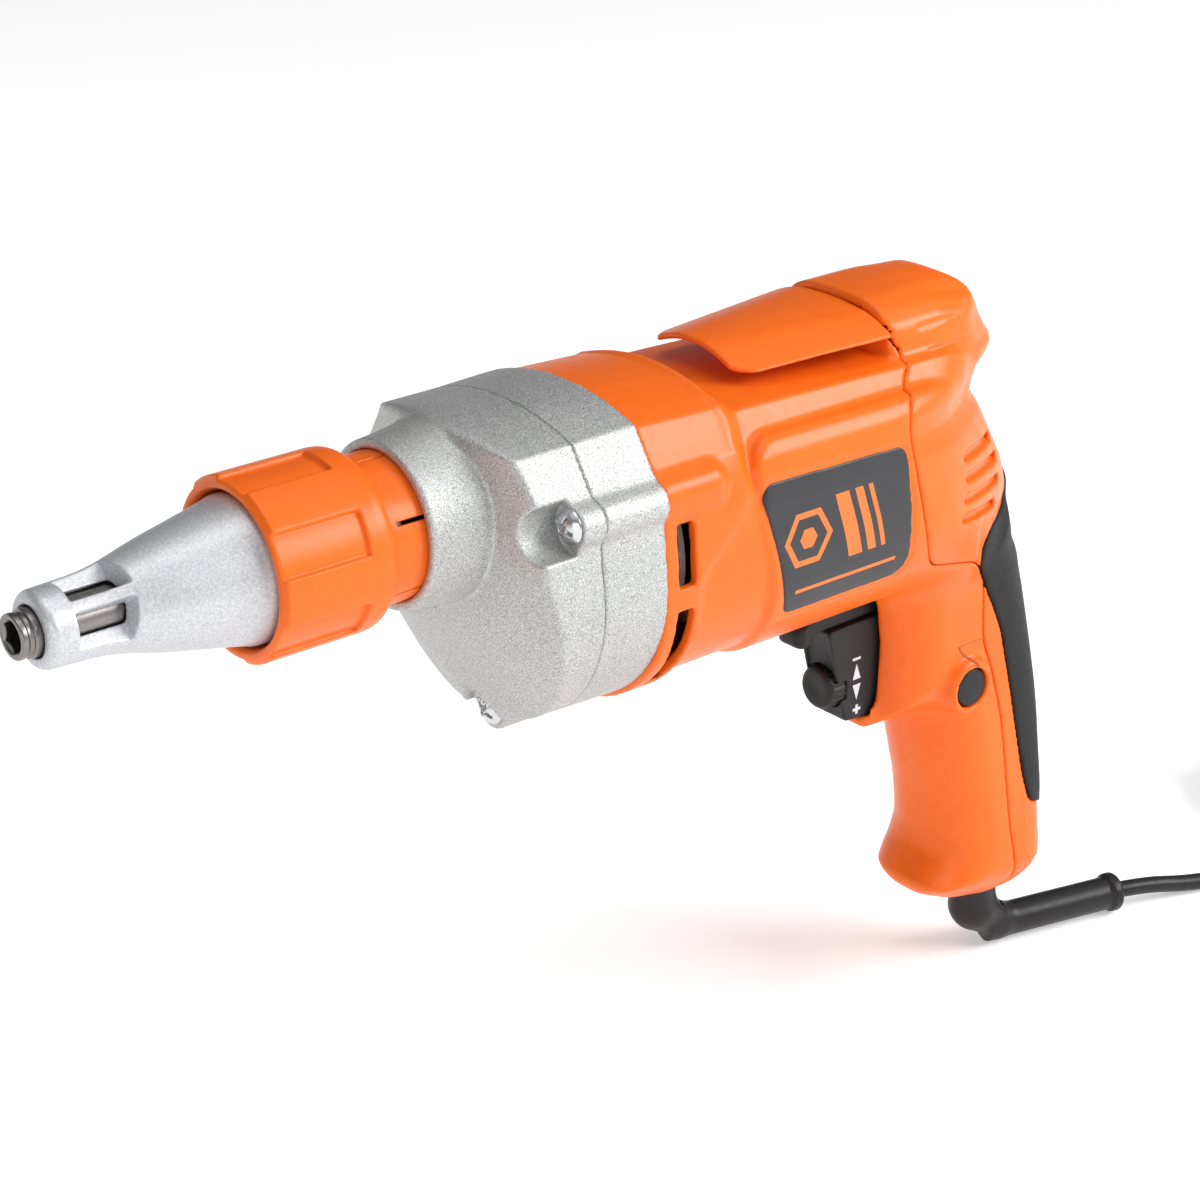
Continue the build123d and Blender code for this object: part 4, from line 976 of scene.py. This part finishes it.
def depth_sleeve(x, y, z):
    q = np.hypot(y, z)
    r = np.where(x < -114.2, 16.6, 17.2)
    d = smax(q - r, np.maximum(-125.8 - x, x + 95.0), 0.4)
    d = smax(d, 13.2 - q, 0.3)
    a = np.degrees(np.arctan2(y, z))
    w = np.where(np.abs(a + 66.0) < 20, 0.50, 0.24)
    a = (a + 6.0 + 30.0) % 60.0 - 30.0
    slit = np.maximum(np.abs(np.radians(a)) * q - w, -112.4 - x)
    return smax(d, -slit, 0.12)


def bit_holder(x, y, z):
    q = np.hypot(y, z)
    ring = rmax(q - 5.0, np.abs(x + 196.75) - 0.85, 0.45)
    body = rmax(q - 5.35, -194.85 - x, 0.35)
    d = np.minimum(np.minimum(ring, body), np.maximum(q - 4.7, -196.4 - x))
    d = np.maximum(d, x + 156.0)
    # countersink into the hexagon
    d = smax(d, -(q - 3.95 + (x + 197.6)) * 0.707, 0.15)
    hx = np.maximum(np.abs(y), np.maximum(np.abs(0.5 * y + 0.8660254 * z), np.abs(0.5 * y - 0.8660254 * z)))
    d = smax(d, -np.maximum(hx - 3.2, x + 181.9), 0.25)
    d = np.maximum(d, -np.maximum(q - 2.5, x + 172.0))
    shank = np.maximum(np.maximum(hx - 3.155, -157.0 - x), x + 134.0)
    return np.minimum(d, shank)


def pan_head(x, y, z, r, h, rs, length):
    """Cross-recess screw along +X, seat at x 0, head towards -X."""
    q = np.hypot(y, z)
    ball = (r * r + h * h) / (2 * h)
    dome = np.sqrt((x - (ball - h)) ** 2 + q * q) - ball
    d = rmax(np.maximum(q - r, x), dome, 0.35)
    w = 0.12 * r
    rad = 0.62 * r
    cross = np.minimum(np.maximum(np.abs(y) - w, np.abs(z) - rad), np.maximum(np.abs(z) - w, np.abs(y) - rad))
    cross = np.minimum(cross, q - 0.26 * r)
    cross = np.maximum(cross, x + 0.42 * h - 0.35 * (0.62 * r - q))
    d = smax(d, -cross, 0.12)
    shank = np.maximum(q - rs, np.maximum(-0.3 - x, x - length))
    return np.minimum(d, shank)


# ------------------------------------------------------------ switch controls
TRIGGER_SIDE = Outline(fil([(28.2, -63.3, 1.2), (35.0, -90.2, 1.6), (47.8, -91.2, 1.0), (47.8, -62.8, 1.0)]), 0.2)
LEVER_SIDE = Outline(fil([
    (20.6, -60.4, 1.5), (18.9, -62.8, 1.2), (18.8, -64.8, 1.2), (19.9, -66.0, 0.9), (22.8, -65.8, 1.0), (24.8, -62.9, 1.5), (53.0, -62.5, 0.5), (53.0, -58.4, 0.5), (24.0, -58.3, 2.5),
]), 0.2)
DIAL_Z = -81.1


def trigger(x, y, z):
    ay = np.abs(y)
    d = rmax(TRIGGER_SIDE(x, z), ay - 5.8, 0.55)
    # slightly hollow front for the finger
    fx = 28.2 + (-63.3 - z) * 0.252
    hollow = x - fx - 0.9 * np.maximum(1 - ((z + 71.0) / 9.0) ** 2, 0.0)
    d = smax(d, -np.maximum(hollow, ay - 4.6), 0.6)
    dial = np.maximum(np.hypot(y, z - DIAL_Z) - 6.15, x - 35.4)
    d = smax(d, -dial, 0.4)
    d = np.maximum(d, -np.maximum(np.hypot(y, z - DIAL_Z) - 2.05, x - 41.0))
    # hollow back for the spring and the switch arm
    return np.maximum(d, -cuboid(x, y, z, 43.6, 60.0, -4.4, 4.4, -89.0, -65.0, 0.5))


def speed_dial(x, y, z):
    q = np.hypot(y, z - DIAL_Z)
    a = np.arctan2(y, z - DIAL_Z)
    rim = 5.75 + 0.16 * np.cos(22 * a) * step(x, 30.6, 31.6)
    d = rmax(q - rim, 29.7 - x, 1.5)
    d = np.maximum(d, x - 35.1)
    d = smax(d, -(np.hypot(q - 0.0, x - 21.8) - 8.2), 0.5)
    return np.minimum(d, np.maximum(q - 2.0, np.maximum(34.0 - x, x - 40.0)))


def reverse_lever(x, y, z):
    ay = np.abs(y)
    plan = np.maximum(np.hypot(np.maximum(22.6 - x, 0.0), np.maximum(ay - 1.6, 0.0)) - 3.4, ay - 4.6)
    d = rmax(LEVER_SIDE(x, z), np.where(x < 22.6, plan, ay - 4.6), 0.7)
    return np.maximum(d, -(np.hypot(x - 48.5, y) - 2.05))


def lock_button(x, y, z):
    q = np.hypot(x - BUTTON_X, z - BUTTON_Z)
    face = -20.0 + 0.02 * q * q * 0.6 - y
    d = rmax(np.maximum(q - 5.2, y + 13.2), face, 0.7)
    flange = np.maximum(q - 6.1, np.maximum(-14.1 - y, y + 13.0))
    return np.minimum(d, flange)


# ------------------------------------------------------------- lead and plug
def lead_sleeve(x, y, z):
    lx, ly = lead_dir
    s = (x - 94.5) * lx + y * ly
    w = -(x - 94.5) * ly + y * lx
    q = np.hypot(w, z + 175.5)
    stub = capsule(x, y, z, (93.4, 0, -154.0), (93.8, 0, -167.0), 6.9, 6.5)
    stub = np.maximum(stub, z + 156.5)
    bend = capsule(x, y, z, (95.2, -0.2, -169.4), (101.5, -1.9, -174.4), 6.3, 5.2)
    tube = np.maximum(q - (4.75 + 0.3 * np.exp(-s / 12.0)), np.maximum(4.0 - s, s - 48.4))
    d = smin(stub, bend, 3.0)
    d = smin(d, tube, 2.2)
    # crease on the inside of the bend
    d = smax(d, -(np.hypot(x - 102.2, z + 168.2) - 1.2), 0.8)
    bead = rmax(q - 5.6, np.abs(s - 46.6) - 1.9, 1.3)
    d = smin(d, bead, 0.5)
    flange = np.maximum(np.hypot(x - 94.5, y) - 8.4, np.maximum(-158.9 - z, z + 156.5))
    d = smax(d, FLOOR_Z + 0.1 - z, 0.3)
    return np.minimum(d, np.where(z > -158.95, flange, 9.0))


PLUG_X, PLUG_Y, PLUG_Z = 312.0, -44.6, FLOOR_Z + 13.0
PLUG_NECK = Track([(260, 3.4), (272, 3.4), (280, 4.4), (288, 5.8), (293, 8.0), (297, 11.0), (310, 14.0)])


def plug_body(x, y, z):
    u, v = y - PLUG_Y, z - PLUG_Z
    wide = 18.0 - 2.6 * np.exp(-(((x - 310.0) / 7.0) ** 2))
    sec = np.hypot(np.maximum(np.abs(u) - wide + 10.5, 0), np.maximum(np.abs(v) - 13.0 + 10.5, 0)) - 10.5
    d = rmax(sec, np.abs(x - 312.0) - 17.0, 3.0)
    neck = np.maximum(np.hypot(u, v) - PLUG_NECK(x), np.maximum(271.9 - x, x - 300.0))
    for k in range(4):
        neck = smax(neck, -(np.hypot(np.hypot(u, v) - PLUG_NECK(x) - 0.5, x - 275.5 - 3.6 * k) - 1.15), 0.5)
    d = smin(d, neck, 5.0)
    for k in range(4):
        g = np.hypot(np.abs(v) - 13.2, x - 303.0 - 4.0 * k) - 1.0
        d = smax(d, -np.where(np.abs(u) < 9.0, g, 9.0), 0.7)
    face = np.abs(x - 329.0) - 0.45
    rimline = np.maximum(np.abs(sec + 2.2) - 0.4, face)
    return smax(d, -rimline, 0.3)


TIE_X, TIE_Y = COIL_X + COIL_MID_R * math.cos(2.0), COIL_Y + COIL_MID_R * math.sin(2.0)


def lead_tie(x, y, z):
    """Strap round the coil."""
    lo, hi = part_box("lead_tie")
    zc = (lo[2] + hi[2]) / 2 * 1000.0 + OFF[2]
    hz = (hi[2] - lo[2]) / 2 * 1000.0
    u = (x - TIE_X) * math.cos(2.0) + (y - TIE_Y) * math.sin(2.0)
    w = -(x - TIE_X) * math.sin(2.0) + (y - TIE_Y) * math.cos(2.0)
    v = z - zc
    hu = 8.5
    q = np.hypot(np.maximum(np.abs(u) - hu + 2.4, 0), np.maximum(np.abs(v) - hz + 2.4, 0)) - 2.4
    q = np.where((np.abs(u) < hu - 2.4) & (np.abs(v) < hz - 2.4), np.maximum(np.abs(u) - hu, np.abs(v) - hz), q)
    band = smax(np.abs(q + 0.45) - 0.4, np.abs(w) - 3.6, 0.3)
    return band


def OUTSIDE(x, y, z):
    """Everything of the object that meets its outline."""
    d = np.minimum(body_core(x, y, z), belt_clip(x, y, z))
    d = np.minimum(d, np.maximum(gear_outer(x, y, z), x + 53.0))
    for f in (locator_cone, depth_collar, depth_sleeve, bit_holder):
        d = np.minimum(d, f(x, y, z))
    return d


# ---------------------------------------------------------------- the pieces
model("housing_shell", motor_housing, (-55, -40, -166), (93, 40, 28), 0.75, "housing", M_ORANGE, ["motor_housing"])
model("rear_shell", handle_cover, (23.5, -40, -166), (115, 40, 30), 0.7, "housing", M_ORANGE, ["handle_cover"])
model("grip_skin", soft_grip, (58, -34, -140), (115, 34, -24), 0.6, "housing", M_RUBBER, ["rubber_grip"])
model("label_plates", side_plate, (-27, -40, -41), (30, 40, 2), 0.5, "housing", M_LABEL, ["side_plates"])
model("clip_tongue", belt_clip, (-17, -23, 14), (40, 23, 28), 0.5, "housing", M_ORANGE, ["belt_clip"])
model("gear_case_front", gear_cover, (-108, -40, -62), (-68, 40, 26), 0.6, "housing", M_CAST, ["gear_cover"])
model("gear_case_back", inner_cover, (-73, -40, -62), (-51, 40, 26), 0.6, "housing", M_CAST, ["inner_cover"])
model("nose_cone", locator_cone, (-195, -18.5, -18.5), (-106, 18.5, 18.5), 0.38, "locator", M_ALLOY, ["locator_cone"])
model("depth_ring", depth_collar, (-147, -24, -24), (-115, 24, 24), 0.42, "collar", M_ORANGE, ["depth_collar"])
model("snap_sleeve", depth_sleeve, (-128, -19, -19), (-93, 19, 19), 0.36, "nose", M_ORANGE, ["depth_sleeve"])
model("holder", bit_holder, (-199.5, -8, -8), (-132, 8, 8), 0.24, "spindle", M_DARK, ["bit_holder"])
model("trigger_shell", trigger, (25, -8, -94), (50, 8, -60), 0.34, "trigger", M_BLACK, ["trigger"])
model("dial_wheel", speed_dial, (27, -8, -90), (42, 8, -73), 0.24, "dial", M_BLACK, ["speed_dial"])
model("direction_lever", reverse_lever, (10, -6, -69), (55, 6, -56), 0.34, "lever", M_BLACK, ["reverse_lever"])
model("lock_knob", lock_button, (60, -22, -93), (75, -11, -77), 0.3, "button", M_BLACK, ["lock_button"])
model("bend_sleeve", lead_sleeve, (83, -18, -184), (146, 10, -153), 0.42, "housing", M_PVC, ["lead_sleeve"])
model("plug_shell", plug_body, (270, -66, FLOOR_Z - 2), (331, -24, FLOOR_Z + 28), 0.6, "housing", M_PVC, ["plug_body"])
model("coil_strap", lead_tie, (TIE_X - 14, TIE_Y - 14, FLOOR_Z - 2), (TIE_X + 14, TIE_Y + 14, FLOOR_Z + 26), 0.3, "housing", M_BLACK, ["lead_tie"])


def screws(name, places, node, mat):
    """One set of equal screws: (seat point, head radius, head height, shank radius, length, turn, backwards)."""
    VV, QQ, n = [], [], 0
    for (sx, sy, sz), r, h, rs, ln, turn, back in places:
        V, Q = polygonise(lambda a, b, c: pan_head(a, b, c, r, h, rs, ln), (-h - 1.2, -r - 1.2, -r - 1.2), (ln + 1.2, r + 1.2, r + 1.2), 0.25, 2)
        ca, sa = math.cos(turn), math.sin(turn)
        V = np.stack([V[:, 0], V[:, 1] * ca - V[:, 2] * sa, V[:, 1] * sa + V[:, 2] * ca], 1)
        if back:
            V = V * np.array([-1, -1, 1])
        VV.append(V + np.array([sx, sy, sz]))
        QQ.append(Q + n)
        n += len(V)
    return add_mesh(name, np.concatenate(VV), np.concatenate(QQ), "housing", mat, [node])


screws("case_screws", [
    ((-77.45, -31.6, 2.4), 4.4, 2.7, 2.4, 43.0, 0.35, False),
    ((-77.45, 31.6, 2.4), 4.4, 2.7, 2.4, 43.0, 0.9, False),
    ((-75.45, 0.0, -53.5), 4.4, 2.7, 2.4, 41.0, 0.6, False),
], "gear_case_screws", M_ZINC)
screws("cover_screws", [
    ((104.55, 0.0, -142.0), 3.3, 2.2, 1.9, 18.0, 0.3, True),
    ((58.05, -13.5, -1.0), 3.3, 2.2, 1.9, 19.0, 0.7, True),
    ((58.05, 13.5, -1.0), 3.3, 2.2, 1.9, 19.0, 0.2, True),
], "handle_cover_screws", M_DARK)


# White marks of the speed wheel on the trigger: minus, two arrows, plus.
def flat_marks(name, polys, y, t, body, mat):
    V, F = [], []
    for poly in polys:
        k = len(poly)
        n = len(V)
        V += [(u, y, v) for u, v in poly] + [(u, y + t, v) for u, v in poly]
        F.append([n + i for i in range(k)])
        F.append([n + k + i for i in reversed(range(k))])
        for i in range(k):
            j = (i + 1) % k
            F.append([n + j, n + i, n + k + i, n + k + j])
    me = bpy.data.meshes.new(name)
    me.from_pydata([row(p) for p in V], [], F)
    me.materials.append(mat)
    ob = bpy.data.objects.new(name, me)
    scene.collection.objects.link(ob)
    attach(ob, body)
    return ob


def plus(cx, cz, a, b):
    return [(cx - a, cz - b), (cx - b, cz - b), (cx - b, cz - a), (cx + b, cz - a), (cx + b, cz - b), (cx + a, cz - b),
            (cx + a, cz + b), (cx + b, cz + b), (cx + b, cz + a), (cx - b, cz + a), (cx - b, cz + b), (cx - a, cz + b)]


M_WHITE = mat_black("print_white", (0.62, 0.64, 0.68), (0.45, 0.55), 900.0, 0.05)
flat_marks("speed_marks", [
    [(37.1, -73.55), (39.9, -73.55), (39.9, -72.85), (37.1, -72.85)],
    [(37.4, -79.0), (40.1, -79.0), (38.55, -74.6)],
    [(37.4, -80.5), (38.9, -84.9), (40.2, -80.5)],
    plus(39.1, -87.7, 1.35, 0.42),
], -5.86, 0.5, "trigger", M_WHITE)

# Painted shade of the lock bracket's parting gap: a darker orange strip laid over the viewed side of the handle, wider
# along its lower part.
def gap_shade_strip(name, pts, body, mat):
    P = []
    for a, b in zip(pts[:-1], pts[1:]):
        n = max(2, int(np.hypot(*(b - a)) / 0.3))
        P += [a + (b - a) * i / n for i in range(n)]
    P = np.array([p for p in P if np.hypot(p[0] - BUTTON_X, p[1] - BUTTON_Z) > 5.9])
    T = np.gradient(P, axis=0)
    T /= np.linalg.norm(T, axis=1)[:, None]
    N = np.stack([-T[:, 1], T[:, 0]], 1)
    half = np.where(P[:, 1] > -73.4, 0.17, 0.36)[:, None]
    rings = []
    for side, h in ((-1, 0.06), (1, 0.06), (1, -0.4), (-1, -0.4)):
        Q = P + N * side * half
        lo, hi = np.full(len(Q), -40.0), np.full(len(Q), -8.0)
        for _ in range(40):
            mid = (lo + hi) / 2
            out = body_core(Q[:, 0], mid, Q[:, 1]) > 0
            lo, hi = np.where(out, mid, lo), np.where(out, hi, mid)
        rings.append(np.stack([Q[:, 0], lo - h, Q[:, 1]], 1))
    n = len(P)
    faces = [(k * n + i, k * n + i + 1, (k + 1) % 4 * n + i + 1, (k + 1) % 4 * n + i) for k in range(4) for i in range(n - 1)]
    faces += [(0, n, 2 * n, 3 * n), (4 * n - 1, 3 * n - 1, 2 * n - 1, n - 1)]
    return add_mesh(name, np.concatenate(rings), faces, body, mat, ())


gap_shade_strip("bracket_gap_shade", TAB_LINE, "housing", mat_orange("orange_gap_shade", 0.58))

# ------------------------------------------------- materials of the CAD nodes
slot_mats = {
    "orange_plastic": M_ORANGE, "cast_alloy": M_CAST, "turned_alloy": M_ALLOY, "black_plastic": M_BLACK,
    "black_rubber": M_RUBBER, "label_film": M_LABEL, "steel": M_STEEL, "dark_steel": M_DARK, "zinc_steel": M_ZINC,
    "bronze": M_BRONZE, "copper": M_COPPER, "carbon": M_BLACK, "nylon": M_NYLON, "black_pvc": M_PVC, "plug_metal": M_NICKEL,
}
slot_of = {s["node"]: s["material_slot"] for s in frame["record"]["subparts"]}
for n, o in nodes.items():
    o.data.materials.clear()
    o.data.materials.append(slot_mats[slot_of[n]])

# ------------------------------------------------------------ floor and light
bpy.ops.mesh.primitive_plane_add(size=40.0, location=(0, 0, row((0, 0, FLOOR_Z))[2] - 0.0003))
floor = bpy.context.object
floor.name = "floor"
fm, fnt, fb = new_mat("floor_paper")
fb.inputs["Base Color"].default_value = (0.92, 0.92, 0.92, 1)
fb.inputs["Roughness"].default_value = 0.9
fb.inputs["Specular IOR Level"].default_value = 0.1
fb.inputs["Emission Color"].default_value = (1, 1, 1, 1)
fb.inputs["Emission Strength"].default_value = 0.37
floor.data.materials.append(fm)

# Studio: bright all round, darker overhead.
world = bpy.data.worlds.new("studio")
scene.world = world
world.use_nodes = True
wn = world.node_tree
tc = wn.nodes.new("ShaderNodeTexCoord")
sep = wn.nodes.new("ShaderNodeSeparateXYZ")
wn.links.new(tc.outputs["Generated"], sep.inputs[0])
sky = ramp(wn, sep.outputs["Z"], [(0.0, (1, 1, 1)), (0.09, (0.78, 0.78, 0.79)), (0.22, (0.26, 0.26, 0.27)), (0.60, (0.30, 0.30, 0.31)), (0.80, (0.85, 0.85, 0.86)), (1.0, (1, 1, 1))])
far = ramp(wn, sep.outputs["Y"], [(0.10, (1, 1, 1)), (0.45, (0.45, 0.45, 0.45))])
wn.links.new(mixcol(wn, 1.0, sky.outputs["Color"], far.outputs["Color"], "MULTIPLY"), wn.nodes["Background"].inputs["Color"])
wn.nodes["Background"].inputs["Strength"].default_value = 0.85


def softbox(name, loc, target, size, power):
    ld = bpy.data.lights.new(name, "AREA")
    ld.shape = "RECTANGLE"
    ld.size, ld.size_y = size
    ld.energy = power
    ob = bpy.data.objects.new(name, ld)
    scene.collection.objects.link(ob)
    ob.location = loc
    ob.rotation_euler = (Vector(target) - Vector(loc)).to_track_quat("-Z", "Y").to_euler()
    return ob


softbox("key", (0.834, -0.941, 0.81), (-0.06, 0, 0.03), (0.95, 0.6), 20.4)
softbox("fill", (-1.15, -0.85, 0.35), (-0.15, 0, 0.06), (0.8, 0.6), 3.0)
softbox("top", (-0.05, -0.1, 1.5), (-0.08, 0, 0.0), (0.9, 0.6), 3.2)
softbox("rim", (-0.5, 1.1, 0.25), (-0.12, 0, 0.08), (1.0, 0.3), 1.0)

# ------------------------------------------------------------------- finish
bpy.context.view_layer.update()
